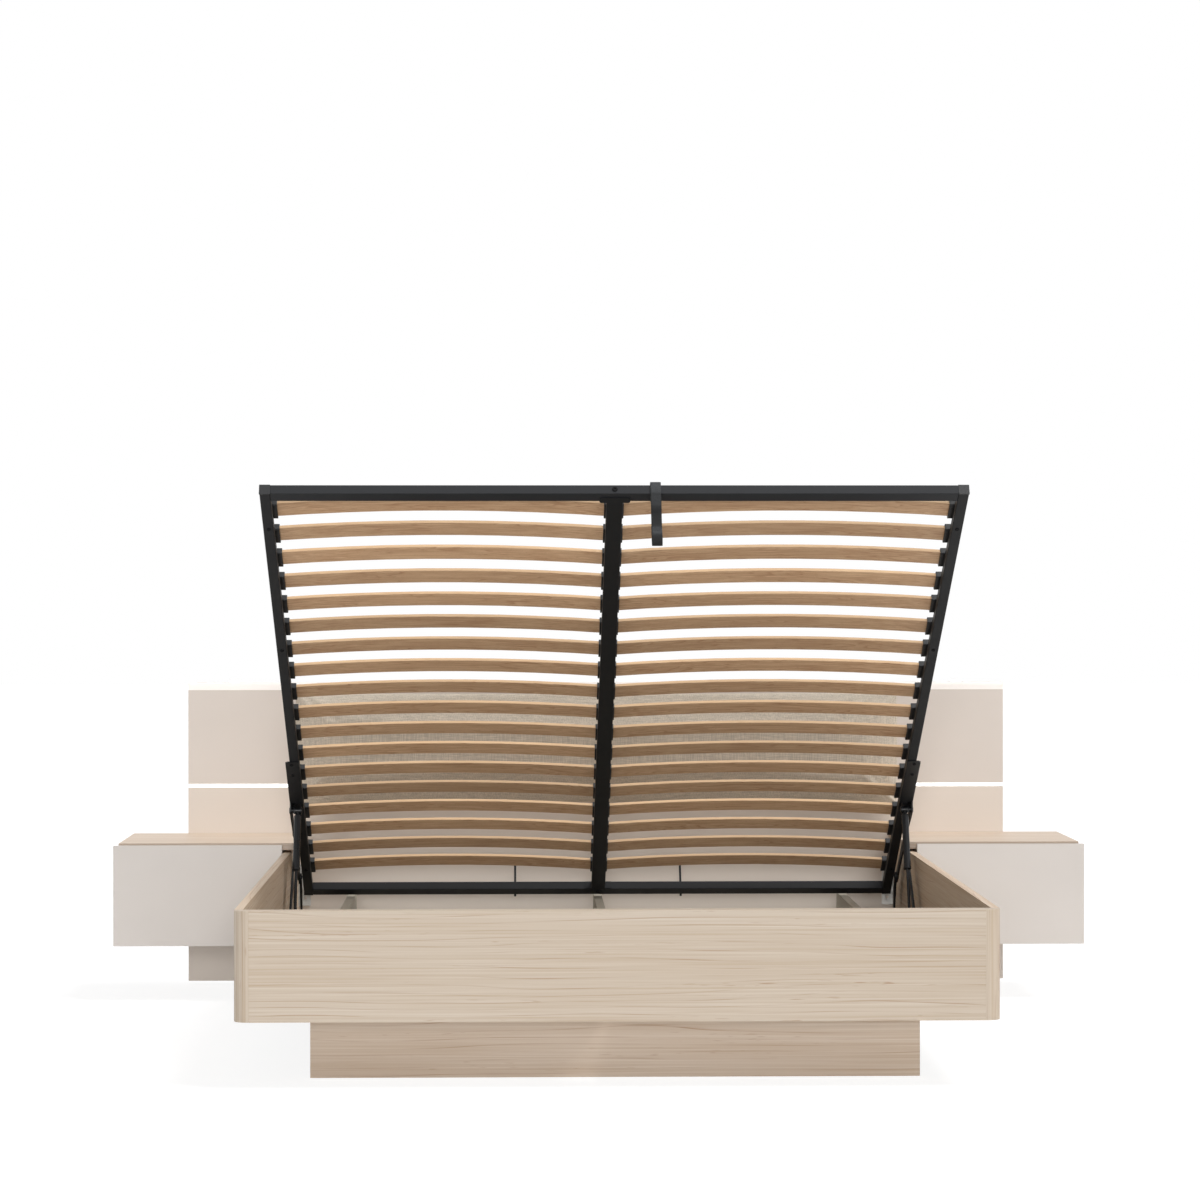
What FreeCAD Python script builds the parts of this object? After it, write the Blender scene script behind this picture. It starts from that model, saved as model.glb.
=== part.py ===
"""Storage bed for a 1600 x 2000 mattress, with its slatted lift frame raised.

Millimetres. X runs across the bed, +Y from the foot to the headboard, +Z up.
The origin lies on the floor, in the middle of the plan outline.
The lift frame is modelled in its own axes first: y = 0 at its head end, the foot
end at negative y, z = 0 at the underside of its tubes. It is then turned to the
raised position, which is the rest position of the whole object.
"""
import FreeCAD, Part
import math
import os

V = FreeCAD.Vector

# Mattress and lift frame
frame_width = 1600.0
frame_length = 2000.0
side_tube_width = 24.0
cross_tube_width = 32.0
beam_width = 37.0
tube_height = 23.0
tube_wall = 1.5
end_cap_thickness = 3.0
end_cap_lip = 1.0
end_cap_plug = 18.0
plug_clearance = 0.2

# Box: rails, foot panel, plinth and storage floor
rail_height = 244.0
rail_thickness = 19.0
rail_lift = 149.0
side_gap = 23.0
foot_gap = 8.0
head_gap = 25.0
foot_panel_thickness = 38.0
post_width = 34.0
post_radius = 30.0
plinth_side_inset = 157.0
plinth_inset = 200.0
plinth_back_inset = 19.0
board_thickness = 22.0
board_height = 254.0
floor_thickness = 8.0
floor_step = 4.0
groove_depth = 6.0

# Headboard
headboard_width = 2256.0
headboard_thickness = 38.0
headboard_floor_gap = 11.0
headboard_height = 824.0
light_line_height = 545.0
light_line_width = 10.0
trim_height = 21.0
trim_radius = 9.0
profile_depth = 16.0
profile_wall = 1.5
diffuser_recess = 2.0
diffuser_thickness = 2.5
cushion_width = 1676.0
cushion_height = 318.0
cushion_top_drop = 23.0
cushion_edge = 16.0
cushion_crown = 26.0
cushion_draw_in = 7.0
cushion_gap = 0.3
cushion_end_crown_share = 0.08
wall_bracket_place = 1002.0
wall_bracket_width = 30.0
wall_bracket_thickness = 3.0
wall_bracket_length = 130.0
wall_bracket_rise = 6.0
corner_bracket_leg = 32.0
corner_bracket_thickness = 3.0
corner_bracket_height = 115.0
corner_bracket_top_drop = 60.0
corner_bracket_hole_radius = 4.0
corner_bracket_hole_margin = 20.0

# Nightstands
nightstand_width = 430.0
nightstand_inner_gap = 4.0
nightstand_depth = 383.0
nightstand_panel = 16.0
nightstand_back_panel = 8.0
top_board_thickness = 19.0
top_board_rail_gap = 7.0
top_board_over_rail = 30.0
top_board_overhang = 2.0
nightstand_height = 250.0
front_thickness = 18.0
front_gap = 2.0
front_inner_gap = 2.0
front_overshoot = 14.0
front_height = 266.0
front_top_drop = 5.5
tray_wall = 12.0
tray_depth = 340.0
tray_height = 180.0
tray_lift = 22.0
tray_bottom_thickness = 6.0
tray_bottom_lift = 10.0
runner_height = 36.0
runner_length = 330.0
runner_thickness = 6.2
runner_clearance = 0.3
runner_front_inset = 12.0
runner_lift = 62.0
runner_groove = 3.0

# Raised and lowered places of the lift frame, head end underside, from the foot
# face and from the rails' top edge
raised_tilt_deg = 31.7
raised_head_forward = 117.0
raised_head_drop = 133.0
lowered_drop = 75.0

# Lift linkage: stations are measured along the frame from its head end
front_pivot_station = 361.0
rear_pivot_station = 105.0
strut_pivot_station = 510.0
strut_pivot_drop = 12.0
front_arm_set_back = 300.0
rear_arm_set_back = 128.0
strut_length = 340.0
strut_angle_deg = 66.0
arm_thickness = 5.0
arm_width = 22.0
arm_side_gap = 2.0
pivot_clearance = 0.05
plate_clearance = 0.5
pin_radius = 5.0
pin_head_radius = 8.0
pin_head_thickness = 2.0
upper_bar_thickness = 3.0
upper_bar_end = 753.0
upper_bar_top = 17.0
upper_bar_ear = 13.0
upper_bar_flange = 32.0
upper_bar_taper = 53.0
upper_bar_corner = 6.0
flange_clear_of_strut = 19.0
strut_hanger_reach = 15.0
strut_cheek_radius = 11.0
strut_bush_radius = 7.0
base_bar_thickness = 4.0
base_bar_ear = 17.0
open_pivot_gap = 0.4
strut_body_radius = 9.0
strut_collar_radius = 10.0
strut_collar_length = 6.0
strut_body_length = 164.0
strut_neck_radius = 6.0
strut_eye_radius = 8.5
strut_eye_width = 12.0
strut_offset = 9.0
strut_body_start = 12.0
strut_shoulder = 3.0
rod_radius = 4.0
rod_clearance = 0.1
rod_engagement = 15.0
rod_eye_radius = 9.0

# Slats and what holds them
slat_count = 18
slat_first_station = 115.0
slat_width = 53.0
slat_thickness = 8.0
slat_crown = 16.0
slat_end_gap = 3.0
slat_seat = 6.0
slat_insert = 19.0
holder_overhang = 10.0
holder_length = 60.0
holder_clearance = 0.3
holder_roof = 1.5
holder_slope_room = 1.6
holder_chamfer_length = 6.0
holder_chamfer_height = 3.5
centre_holder_overhang = 4.0

# Centre beam plates, mattress stop and pull strap
beam_plate_width = 70.0
beam_plate_length = 20.0
beam_plate_thickness = 2.5
beam_plate_radius = 6.0
beam_plate_lap = 16.5
stop_half_width = 226.0
stop_height = 110.0
stop_leg_below = 3.0
stop_wire_radius = 3.0
stop_wire_sides = 12
stop_bend_radius = 18.0
stop_gap = 0.3
strap_place = 91.6
strap_width = 24.0
strap_thickness = 2.0
strap_gap = 0.5
strap_tail = 124.0
strap_curl_radius = 9.0

# Worked out places, +X side; the left side is its mirror image
half_frame = frame_width / 2
rail_inner = half_frame + side_gap
rail_outer = rail_inner + rail_thickness
rail_top = rail_lift + rail_height
lowered_head_y = foot_panel_thickness + foot_gap + frame_length
raised_head_y = lowered_head_y - raised_head_forward
headboard_face = lowered_head_y + head_gap
stand_inner = rail_outer + nightstand_inner_gap
nightstand_outer = stand_inner + nightstand_width
headboard_back = headboard_face + headboard_thickness
total_depth = headboard_back + wall_bracket_thickness
foot_face = -total_depth / 2
floor_under = rail_lift + floor_step
floor_top = floor_under + floor_thickness
headboard_top = headboard_floor_gap + headboard_height
half_headboard = headboard_width / 2
half_plinth = rail_outer - plinth_side_inset

tilt = math.radians(raised_tilt_deg)
strut_angle = math.radians(strut_angle_deg)
arm_inner = half_frame + arm_side_gap
arm_outer = arm_inner + arm_thickness
bar_inner = arm_outer + plate_clearance
bar_outer = bar_inner + upper_bar_thickness
base_inner = rail_inner - base_bar_thickness
strut_x = half_frame - strut_offset


def at(y, z):
    """Height z above the rails' top edge, y behind the foot face, as (Y, Z)."""
    return (foot_face + y, rail_top + z)


def frame_point(station, drop, lowered=False):
    """(Y, Z) of a point under the lift frame, raised or lowered."""
    if lowered:
        head_y, head_z = at(lowered_head_y, -lowered_drop)
        return (head_y - station, head_z - drop)
    head_y, head_z = at(raised_head_y, -raised_head_drop)
    y = head_y - station * math.cos(tilt) - drop * math.sin(tilt)
    z = head_z + station * math.sin(tilt) - drop * math.cos(tilt)
    return (y, z)


def fixed_pivot(station, set_back):
    """Base pivot of an arm: level with both places of the arm's upper pivot."""
    raised = frame_point(station, 0)
    lowered = frame_point(station, 0, lowered=True)
    chord = math.dist(raised, lowered)
    across = ((raised[1] - lowered[1]) / chord, (lowered[0] - raised[0]) / chord)
    if across[1] < 0:
        across = (-across[0], -across[1])
    middle = ((raised[0] + lowered[0]) / 2, (raised[1] + lowered[1]) / 2)
    return (middle[0] - across[0] * set_back, middle[1] - across[1] * set_back)


front_base = fixed_pivot(front_pivot_station, front_arm_set_back)
rear_base = fixed_pivot(rear_pivot_station, rear_arm_set_back)
front_top = frame_point(front_pivot_station, 0)
rear_top = frame_point(rear_pivot_station, 0)
strut_top = frame_point(strut_pivot_station, strut_pivot_drop)
strut_base = (
    strut_top[0] - strut_length * math.cos(strut_angle),
    strut_top[1] - strut_length * math.sin(strut_angle),
)
strut_closed = math.dist(frame_point(strut_pivot_station, strut_pivot_drop, lowered=True), strut_base)
strut_stroke = strut_length - strut_closed


def box(x0, x1, y0, y1, z0, z1):
    return Part.makeBox(x1 - x0, y1 - y0, z1 - z0, V(x0, y0, z0))


def mirrored(shape):
    return shape.mirror(V(0, 0, 0), V(1, 0, 0))


def both(shape):
    """The piece and its mirror image as two separate solids."""
    return Part.makeCompound([shape, mirrored(shape)])


def disc(x0, x1, place, radius):
    """Round bar along X, centred on place = (Y, Z)."""
    return Part.makeCylinder(radius, x1 - x0, V(x0, place[0], place[1]), V(1, 0, 0))


def raised(shape):
    """Turns a shape from the lift frame's own axes to the raised position."""
    out = shape.copy()
    out.rotate(V(0, 0, 0), V(1, 0, 0), -raised_tilt_deg)
    head_y, head_z = at(raised_head_y, -raised_head_drop)
    out.translate(V(0, head_y, head_z))
    return out


def plate_yz(points, x0, x1):
    """Flat plate across X, cut to an outline of (y, z) points."""
    wire = Part.makePolygon([V(x0, y, z) for y, z in points + points[:1]])
    return Part.Face(wire).extrude(V(x1 - x0, 0, 0))


def link_yz(a, b, radius, x0, x1):
    """Flat bar with round ends between two pivots, without its holes."""
    length = math.dist(a, b)
    side = ((a[1] - b[1]) / length * radius, (b[0] - a[0]) / length * radius)
    corners = [
        (a[0] + side[0], a[1] + side[1]),
        (b[0] + side[0], b[1] + side[1]),
        (b[0] - side[0], b[1] - side[1]),
        (a[0] - side[0], a[1] - side[1]),
    ]
    bar = plate_yz(corners, x0, x1)
    return bar.fuse([disc(x0, x1, a, radius), disc(x0, x1, b, radius)]).removeSplitter()


def save(name, shape):
    shape.exportStep("parts/" + name + ".step")


def save_pair(name, shape):
    save(name + "_right", shape)
    save(name + "_left", mirrored(shape))


# Bed box

def foot_panel():
    inner = rail_outer - post_width
    y0 = foot_face
    panel = box(-inner, inner, y0, y0 + foot_panel_thickness, rail_lift, rail_top)
    groove = box(
        -inner, inner,
        y0 + foot_panel_thickness - groove_depth, y0 + foot_panel_thickness,
        floor_under, floor_top,
    )
    return panel.cut(groove)


def corner_post():
    """Solid corner with a quarter-round outside, standing between panel and rail."""
    y0 = foot_face
    y1 = foot_face + foot_panel_thickness
    x0 = rail_outer - post_width
    x1 = rail_outer
    radius = min(post_radius, post_width, foot_panel_thickness)
    middle = math.sqrt(0.5) * radius
    z = rail_lift
    start = V(x1 - radius, y0, z)
    end = V(x1, y0 + radius, z)
    corner = V(x1 - radius + middle, y0 + radius - middle, z)
    edges = [
        Part.LineSegment(V(x0, y0, z), start).toShape(),
        Part.Arc(start, corner, end).toShape(),
        Part.LineSegment(end, V(x1, y1, z)).toShape(),
        Part.LineSegment(V(x1, y1, z), V(x0, y1, z)).toShape(),
        Part.LineSegment(V(x0, y1, z), V(x0, y0, z)).toShape(),
    ]
    return Part.Face(Part.Wire(edges)).extrude(V(0, 0, rail_height))


def side_rail():
    y0 = foot_face + foot_panel_thickness
    y1 = foot_face + headboard_face
    rail = box(rail_inner, rail_outer, y0, y1, rail_lift, rail_top)
    groove = box(rail_inner, rail_inner + groove_depth, y0, y1, floor_under, floor_top)
    return rail.cut(groove)


plinth_front_y = foot_face + plinth_inset
plinth_back_y = foot_face + headboard_face - plinth_back_inset


def plinth_front():
    return box(-half_plinth, half_plinth, plinth_front_y, plinth_front_y + board_thickness, 0, floor_under)


def plinth_back():
    inner = half_plinth - board_thickness
    left = box(-inner, -board_thickness / 2, plinth_back_y - board_thickness, plinth_back_y, 0, floor_under)
    return left.fuse(mirrored(left))


def plinth_board(x0, x1, grooves):
    """Long upright board from the floor up into the box, with floor grooves."""
    y0 = plinth_front_y + board_thickness
    board = box(x0, x1, y0, plinth_back_y, 0, board_height)
    for g0, g1 in grooves:
        board = board.cut(box(g0, g1, y0, plinth_back_y, floor_under, floor_top))
    return board


def plinth_board_side():
    inner = half_plinth - board_thickness
    grooves = [(inner, inner + groove_depth), (half_plinth - groove_depth, half_plinth)]
    return plinth_board(inner, half_plinth, grooves)


def plinth_board_centre():
    half = board_thickness / 2
    return plinth_board(-half, half, [(-half, groove_depth - half), (half - groove_depth, half)])


def storage_floors():
    """Four thin panels in the grooves, notched round the plinth's front board."""
    y0 = foot_face + foot_panel_thickness - groove_depth
    y1 = foot_face + headboard_face
    inner = half_plinth - board_thickness
    centre = board_thickness / 2
    main = box(centre - groove_depth, inner + groove_depth, y0, y1, floor_under, floor_top)
    main = main.cut(box(0, centre, y0, plinth_front_y + board_thickness, floor_under, floor_top))
    main = main.cut(box(0, centre, plinth_back_y, y1, floor_under, floor_top))
    side = box(half_plinth - groove_depth, rail_inner + groove_depth, y0, y1, floor_under, floor_top)
    seam = half_plinth - board_thickness / 2
    for y2, y3 in ((y0, plinth_front_y + board_thickness), (plinth_back_y, y1)):
        front_main = box(inner + groove_depth, seam, y2, y3, floor_under, floor_top)
        front_side = box(seam, half_plinth - groove_depth, y2, y3, floor_under, floor_top)
        main = main.fuse(front_main)
        side = side.fuse(front_side)
    main = main.removeSplitter()
    post_corner = box(
        rail_outer - post_width, rail_outer,
        y0, foot_face + foot_panel_thickness, floor_under, floor_top,
    )
    side = side.removeSplitter().cut(post_corner)
    return Part.makeCompound([main, mirrored(main), side, mirrored(side)])


# Headboard

def headboard_lower():
    y0 = foot_face + headboard_face
    y1 = foot_face + headboard_back
    return box(-half_headboard, half_headboard, y0, y1, headboard_floor_gap, light_line_height)


def headboard_upper():
    """Upper panel with a shoulder behind the light line, resting on the lower one."""
    y0 = foot_face + headboard_face
    y1 = foot_face + headboard_back
    z0 = light_line_height + light_line_width
    panel = box(-half_headboard, half_headboard, y0, y1, z0, headboard_top - trim_height)
    shoulder = box(
        -half_headboard, half_headboard,
        y0 + diffuser_recess + profile_depth, y1, light_line_height, z0,
    )
    return panel.fuse(shoulder).removeSplitter()


def headboard_trim():
    y0 = foot_face + headboard_face
    y1 = foot_face + headboard_back
    trim = box(-half_headboard, half_headboard, y0, y1, headboard_top - trim_height, headboard_top)
    upper_front = [
        edge for edge in trim.Edges
        if edge.BoundBox.YMax < y0 + trim_radius and edge.BoundBox.ZMin > headboard_top - trim_radius
    ]
    return trim.makeFillet(min(trim_radius, trim_height / 2), upper_front)


def light_profile():
    y0 = foot_face + headboard_face + diffuser_recess
    y1 = y0 + profile_depth
    z0 = light_line_height
    z1 = light_line_height + light_line_width
    channel = box(-half_headboard, half_headboard, y0, y1, z0, z1)
    inside = box(
        -half_headboard, half_headboard,
        y0, y1 - profile_wall, z0 + profile_wall, z1 - profile_wall,
    )
    return channel.cut(inside)


def light_diffuser():
    y0 = foot_face + headboard_face + diffuser_recess
    z0 = light_line_height + profile_wall
    z1 = light_line_height + light_line_width - profile_wall
    return box(-half_headboard, half_headboard, y0, y0 + diffuser_thickness, z0, z1)


def cushion_section(x):
    """Upright section: flat back, short square edges and a crowned front."""
    share = abs(x) / (cushion_width / 2)
    draw = cushion_draw_in * (1 - share ** 2)
    crown = cushion_crown * (1 - share ** 4)
    back = foot_face + headboard_face - cushion_gap
    front = back - cushion_edge
    top = headboard_top - cushion_top_drop - draw
    bottom = headboard_top - cushion_top_drop - cushion_height + draw
    middle = (top + bottom) / 2
    bulge = V(x, front - max(crown, cushion_crown * cushion_end_crown_share), middle)
    edges = [
        Part.LineSegment(V(x, back, bottom), V(x, back, top)).toShape(),
        Part.LineSegment(V(x, back, top), V(x, front, top)).toShape(),
        Part.Arc(V(x, front, top), bulge, V(x, front, bottom)).toShape(),
        Part.LineSegment(V(x, front, bottom), V(x, back, bottom)).toShape(),
    ]
    return Part.Wire(edges)


def headboard_cushion():
    """Long padded back rest: crowned towards the bed, its long sides drawn in."""
    half = cushion_width / 2
    station_shares = (-1, -0.985, -0.93, -0.75, -0.4, 0, 0.4, 0.75, 0.93, 0.985, 1)
    sections = [cushion_section(share * half) for share in station_shares]
    return Part.makeLoft(sections, True, True)


def wall_brackets():
    y0 = foot_face + headboard_back
    z1 = headboard_top + wall_bracket_rise
    plate = box(
        wall_bracket_place - wall_bracket_width / 2, wall_bracket_place + wall_bracket_width / 2,
        y0, y0 + wall_bracket_thickness, z1 - wall_bracket_length, z1,
    )
    return both(plate)


def corner_brackets():
    """Angle pieces that join the rails to the headboard inside the box."""
    y1 = foot_face + headboard_face
    z1 = rail_top - corner_bracket_top_drop
    z0 = z1 - corner_bracket_height
    x1 = rail_inner
    leg = corner_bracket_leg
    thick = corner_bracket_thickness
    angle = box(x1 - leg, x1, y1 - thick, y1, z0, z1)
    angle = angle.fuse(box(x1 - thick, x1, y1 - leg, y1, z0, z1)).removeSplitter()
    middle = (leg + thick) / 2
    z = z0 + corner_bracket_hole_margin
    radius = corner_bracket_hole_radius
    angle = angle.cut(Part.makeCylinder(radius, leg, V(x1 - middle, y1 - leg, z), V(0, 1, 0)))
    angle = angle.cut(Part.makeCylinder(radius, leg, V(x1 - leg, y1 - middle, z), V(1, 0, 0)))
    return both(angle)


# Nightstands, +X side

stand_front = foot_face + headboard_face - nightstand_depth
stand_back = foot_face + headboard_face
board_under = rail_top + top_board_rail_gap
board_top = board_under + top_board_thickness
stand_bottom = board_under - nightstand_height


def nightstand_top():
    x0 = rail_outer - top_board_over_rail
    x1 = nightstand_outer + top_board_overhang
    return box(x0, x1, stand_front, stand_back, board_under, board_top)


def nightstand_inner_side():
    x1 = stand_inner + nightstand_panel
    return box(stand_inner, x1, stand_front, stand_back, stand_bottom, board_under)


def nightstand_outer_side():
    x0 = nightstand_outer - nightstand_panel
    return box(x0, nightstand_outer, stand_front, stand_back, stand_bottom, board_under)


def nightstand_bottom():
    x0 = stand_inner + nightstand_panel
    x1 = nightstand_outer - nightstand_panel
    return box(x0, x1, stand_front, stand_back, stand_bottom, stand_bottom + nightstand_panel)


def nightstand_back():
    x0 = stand_inner + nightstand_panel
    x1 = nightstand_outer - nightstand_panel
    z0 = stand_bottom + nightstand_panel
    return box(x0, x1, stand_back - nightstand_back_panel, stand_back, z0, board_under)


runner_z0 = stand_bottom + nightstand_panel + runner_lift
runner_y0 = stand_front + runner_front_inset
carcass_x0 = stand_inner + nightstand_panel
carcass_x1 = nightstand_outer - nightstand_panel


def runner(x0, x1, open_side):
    """Steel channel with a shallow track along its open side, -1 or +1 in X."""
    bar = box(x0, x1, runner_y0, runner_y0 + runner_length, runner_z0, runner_z0 + runner_height)
    z0 = runner_z0 + runner_height / 4
    z1 = runner_z0 + runner_height * 3 / 4
    if open_side > 0:
        track = box(x1 - runner_groove, x1, runner_y0, runner_y0 + runner_length, z0, z1)
    else:
        track = box(x0, x0 + runner_groove, runner_y0, runner_y0 + runner_length, z0, z1)
    return bar.cut(track)


def nightstand_runners():
    pair = [
        runner(carcass_x0, carcass_x0 + runner_thickness, 1),
        runner(carcass_x1 - runner_thickness, carcass_x1, -1),
    ]
    return Part.makeCompound(pair + [mirrored(one) for one in pair])


def drawer_runners():
    x0 = carcass_x0 + runner_thickness + runner_clearance
    x1 = carcass_x1 - runner_thickness - runner_clearance
    return Part.makeCompound([
        runner(x0, x0 + runner_thickness, -1),
        runner(x1 - runner_thickness, x1, 1),
    ])


tray_x0 = carcass_x0 + 2 * runner_thickness + runner_clearance
tray_x1 = carcass_x1 - 2 * runner_thickness - runner_clearance
tray_z0 = stand_bottom + nightstand_panel + tray_lift
tray_front = stand_front - front_gap


def drawer_front():
    x0 = rail_outer + front_inner_gap
    x1 = nightstand_outer + front_overshoot
    z1 = board_top - front_top_drop
    return box(x0, x1, tray_front - front_thickness, tray_front, z1 - front_height, z1)


def drawer_tray():
    """Four walls folded from one wrapped board, grooved for the bottom."""
    y1 = tray_front + tray_depth
    z1 = tray_z0 + tray_height
    tray = box(tray_x0, tray_x1, tray_front, y1, tray_z0, z1)
    inside = box(
        tray_x0 + tray_wall, tray_x1 - tray_wall,
        tray_front + tray_wall, y1 - tray_wall, tray_z0, z1,
    )
    tray = tray.cut(inside)
    return tray.cut(drawer_bottom())


def drawer_bottom():
    reach = tray_wall / 2
    z0 = tray_z0 + tray_bottom_lift
    return box(
        tray_x0 + reach, tray_x1 - reach,
        tray_front + reach, tray_front + tray_depth - reach,
        z0, z0 + tray_bottom_thickness,
    )


# Lift linkage, +X side

def front_arm():
    arm = link_yz(front_base, front_top, arm_width / 2, arm_inner, arm_outer)
    for place in (front_base, front_top):
        arm = arm.cut(disc(arm_inner, arm_outer, place, pin_radius + pivot_clearance))
    return arm


def rear_arm():
    """Short arm; its lower rivet is its own and stops just short of the base bar."""
    arm = link_yz(rear_base, rear_top, arm_width / 2, arm_inner, arm_outer)
    arm = arm.cut(disc(arm_inner, arm_outer, rear_top, pin_radius + pivot_clearance))
    spacer = disc(arm_outer, base_inner - open_pivot_gap, rear_base, pin_head_radius)
    return arm.fuse(spacer).removeSplitter()


def base_bar():
    """Plate on the rail's inner face, with an ear and a fixed pin for the front arm."""
    ear = base_bar_ear
    low = min(strut_base[1], rear_base[1])
    plate = link_yz((strut_base[0], low), rear_base, ear, base_inner, rail_inner)
    corners = [
        (strut_base[0] - ear, low),
        (strut_base[0] - ear, strut_base[1]),
        (front_base[0] - ear, front_base[1]),
        (front_base[0] + ear, front_base[1]),
        (front_base[0] + 3 * ear, low),
    ]
    gusset = plate_yz(corners, base_inner, rail_inner)
    plate = plate.fuse([gusset, disc(base_inner, rail_inner, front_base, ear)])
    plate = plate.fuse(disc(base_inner, rail_inner, strut_base, ear)).removeSplitter()
    spacer = disc(arm_outer + pivot_clearance, base_inner, front_base, pin_head_radius)
    shank_end = arm_inner - pivot_clearance
    shank = disc(shank_end, base_inner, front_base, pin_radius)
    head = disc(shank_end - pin_head_thickness, shank_end, front_base, pin_head_radius)
    return plate.fuse([spacer, shank, head]).removeSplitter()


def bar_pin(station, drop, inner_x, headed):
    """Rivet through the upper bar towards the frame, in the frame's own axes."""
    place = (-station, -drop)
    pin = disc(inner_x, bar_outer, place, pin_radius)
    pin = pin.fuse(disc(bar_outer, bar_outer + pin_head_thickness, place, pin_head_radius))
    if headed:
        pin = pin.fuse(disc(inner_x - pin_head_thickness, inner_x, place, pin_head_radius))
    return pin


def upper_bar_flange_plate():
    """Strip folded under the tube, its outer corner at the foot end cut off."""
    under = bar_inner - upper_bar_flange
    corner = upper_bar_corner
    foot_end = -upper_bar_end
    head_end = -strut_pivot_station - flange_clear_of_strut
    outline = [
        (under, head_end),
        (under, foot_end),
        (bar_outer - corner, foot_end),
        (bar_outer, foot_end + corner),
        (bar_outer, head_end),
    ]
    wire = Part.makePolygon([V(x, y, -upper_bar_thickness) for x, y in outline + outline[:1]])
    return Part.Face(wire).extrude(V(0, 0, upper_bar_thickness))


def strut_cheek(outer_x):
    """Inner cheek that reaches back from the flange to the far side of the strut's eye."""
    y, z = -strut_pivot_station, -strut_pivot_drop
    inner_x = outer_x - upper_bar_thickness
    r = strut_cheek_radius
    edge = y - flange_clear_of_strut
    outline = [(y + r, z), (y + r, 0), (edge - r, 0), (edge - r, -upper_bar_thickness), (y - r, z)]
    return plate_yz(outline, inner_x, outer_x).fuse(disc(inner_x, outer_x, (y, z), r))


def upper_bar():
    """Plate along the side tube, its foot part a gusset folded under the tube."""
    ear = upper_bar_ear
    head_end = -rear_pivot_station + ear
    hanger_end = -strut_pivot_station - strut_hanger_reach
    low = -strut_pivot_drop - ear
    foot_end = -upper_bar_end + upper_bar_corner
    taper_start = -upper_bar_end + upper_bar_taper
    taper_top = upper_bar_top * upper_bar_corner / upper_bar_taper
    outline = [
        (head_end, -ear),
        (head_end, upper_bar_top - ear / 2),
        (head_end - ear / 2, upper_bar_top),
        (taper_start, upper_bar_top),
        (foot_end, taper_top),
        (foot_end, -upper_bar_thickness),
        (hanger_end - ear, -upper_bar_thickness),
        (hanger_end, low),
        (-strut_pivot_station + ear, low),
        (-front_pivot_station - ear, -ear),
    ]
    bar = plate_yz(outline, bar_inner, bar_outer)
    bar = bar.fuse(upper_bar_flange_plate())
    near_tube = half_frame + plate_clearance
    bar = bar.fuse(bar_pin(front_pivot_station, 0, near_tube, False))
    bar = bar.fuse(bar_pin(rear_pivot_station, 0, near_tube, False))
    strut_inner = strut_x - strut_eye_width / 2 - pivot_clearance
    strut_outer = strut_x + strut_eye_width / 2 + pivot_clearance
    bush_place = (-strut_pivot_station, -strut_pivot_drop)
    bar = bar.fuse(disc(strut_outer, bar_inner, bush_place, strut_bush_radius))
    bar = bar.fuse(strut_cheek(strut_inner))
    cheek_inner = strut_inner - upper_bar_thickness
    bar = bar.fuse(bar_pin(strut_pivot_station, strut_pivot_drop, cheek_inner, True))
    return raised(bar.removeSplitter())


def along_strut(distance):
    """Point on the strut's axis, measured down from its upper pivot."""
    share = distance / strut_length
    y = strut_top[0] + (strut_base[0] - strut_top[0]) * share
    z = strut_top[1] + (strut_base[1] - strut_top[1]) * share
    return V(strut_x, y, z)


def strut_round(start, end, radius):
    a = along_strut(start)
    return Part.makeCylinder(radius, end - start, a, along_strut(end) - a)


def gas_cylinder():
    """Turned body of the gas strut, bored for the rod, with an eye at its top."""
    bore_start = strut_body_length - rod_engagement - strut_stroke - rod_clearance
    bore = rod_radius + rod_clearance
    collar_start = strut_body_length - strut_collar_length
    outline = [
        (0, 0),
        (strut_neck_radius, 0),
        (strut_neck_radius, strut_body_start),
        (strut_body_radius, strut_body_start + strut_shoulder),
        (strut_body_radius, collar_start),
        (strut_collar_radius, collar_start),
        (strut_collar_radius, strut_body_length),
        (bore, strut_body_length),
        (bore, bore_start),
        (0, bore_start),
    ]
    wire = Part.makePolygon([V(r, 0, z) for r, z in outline + outline[:1]])
    body = Part.Face(wire).revolve(V(0, 0, 0), V(0, 0, 1), 360)
    body.rotate(V(0, 0, 0), V(1, 0, 0), 90 + strut_angle_deg)
    body.translate(V(strut_x, strut_top[0], strut_top[1]))
    half = strut_eye_width / 2
    eye = disc(strut_x - half, strut_x + half, strut_top, strut_eye_radius)
    hole = disc(strut_x - half, strut_x + half, strut_top, pin_radius + pivot_clearance)
    return body.fuse(eye).cut(hole)


def gas_rod():
    """Polished rod; its lower eye carries its own rivet beside the base bar."""
    half = strut_eye_width / 2
    rod = strut_round(strut_body_length - rod_engagement, strut_length, rod_radius)
    eye = disc(strut_x - half, strut_x + half, strut_base, rod_eye_radius)
    stud = disc(strut_x + half, base_inner - open_pivot_gap, strut_base, pin_head_radius)
    return rod.fuse([eye, stud]).removeSplitter()


# Lift frame, in its own axes

def tube(x0, x1, y0, y1, along):
    """Rectangular tube, open at the two ends that its long axis meets."""
    wall = tube_wall
    outer = box(x0, x1, y0, y1, 0, tube_height)
    if along == "x":
        inner = box(x0, x1, y0 + wall, y1 - wall, wall, tube_height - wall)
    else:
        inner = box(x0 + wall, x1 - wall, y0, y1, wall, tube_height - wall)
    return outer.cut(inner)


tube_inner = half_frame - side_tube_width


def side_tube():
    y0 = -frame_length + end_cap_thickness
    return raised(tube(tube_inner, half_frame, y0, -end_cap_thickness, "y"))


def foot_tube():
    return raised(tube(-tube_inner, tube_inner, -frame_length, -frame_length + cross_tube_width, "x"))


def head_tube():
    return raised(tube(-tube_inner, tube_inner, -cross_tube_width, 0, "x"))


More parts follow.
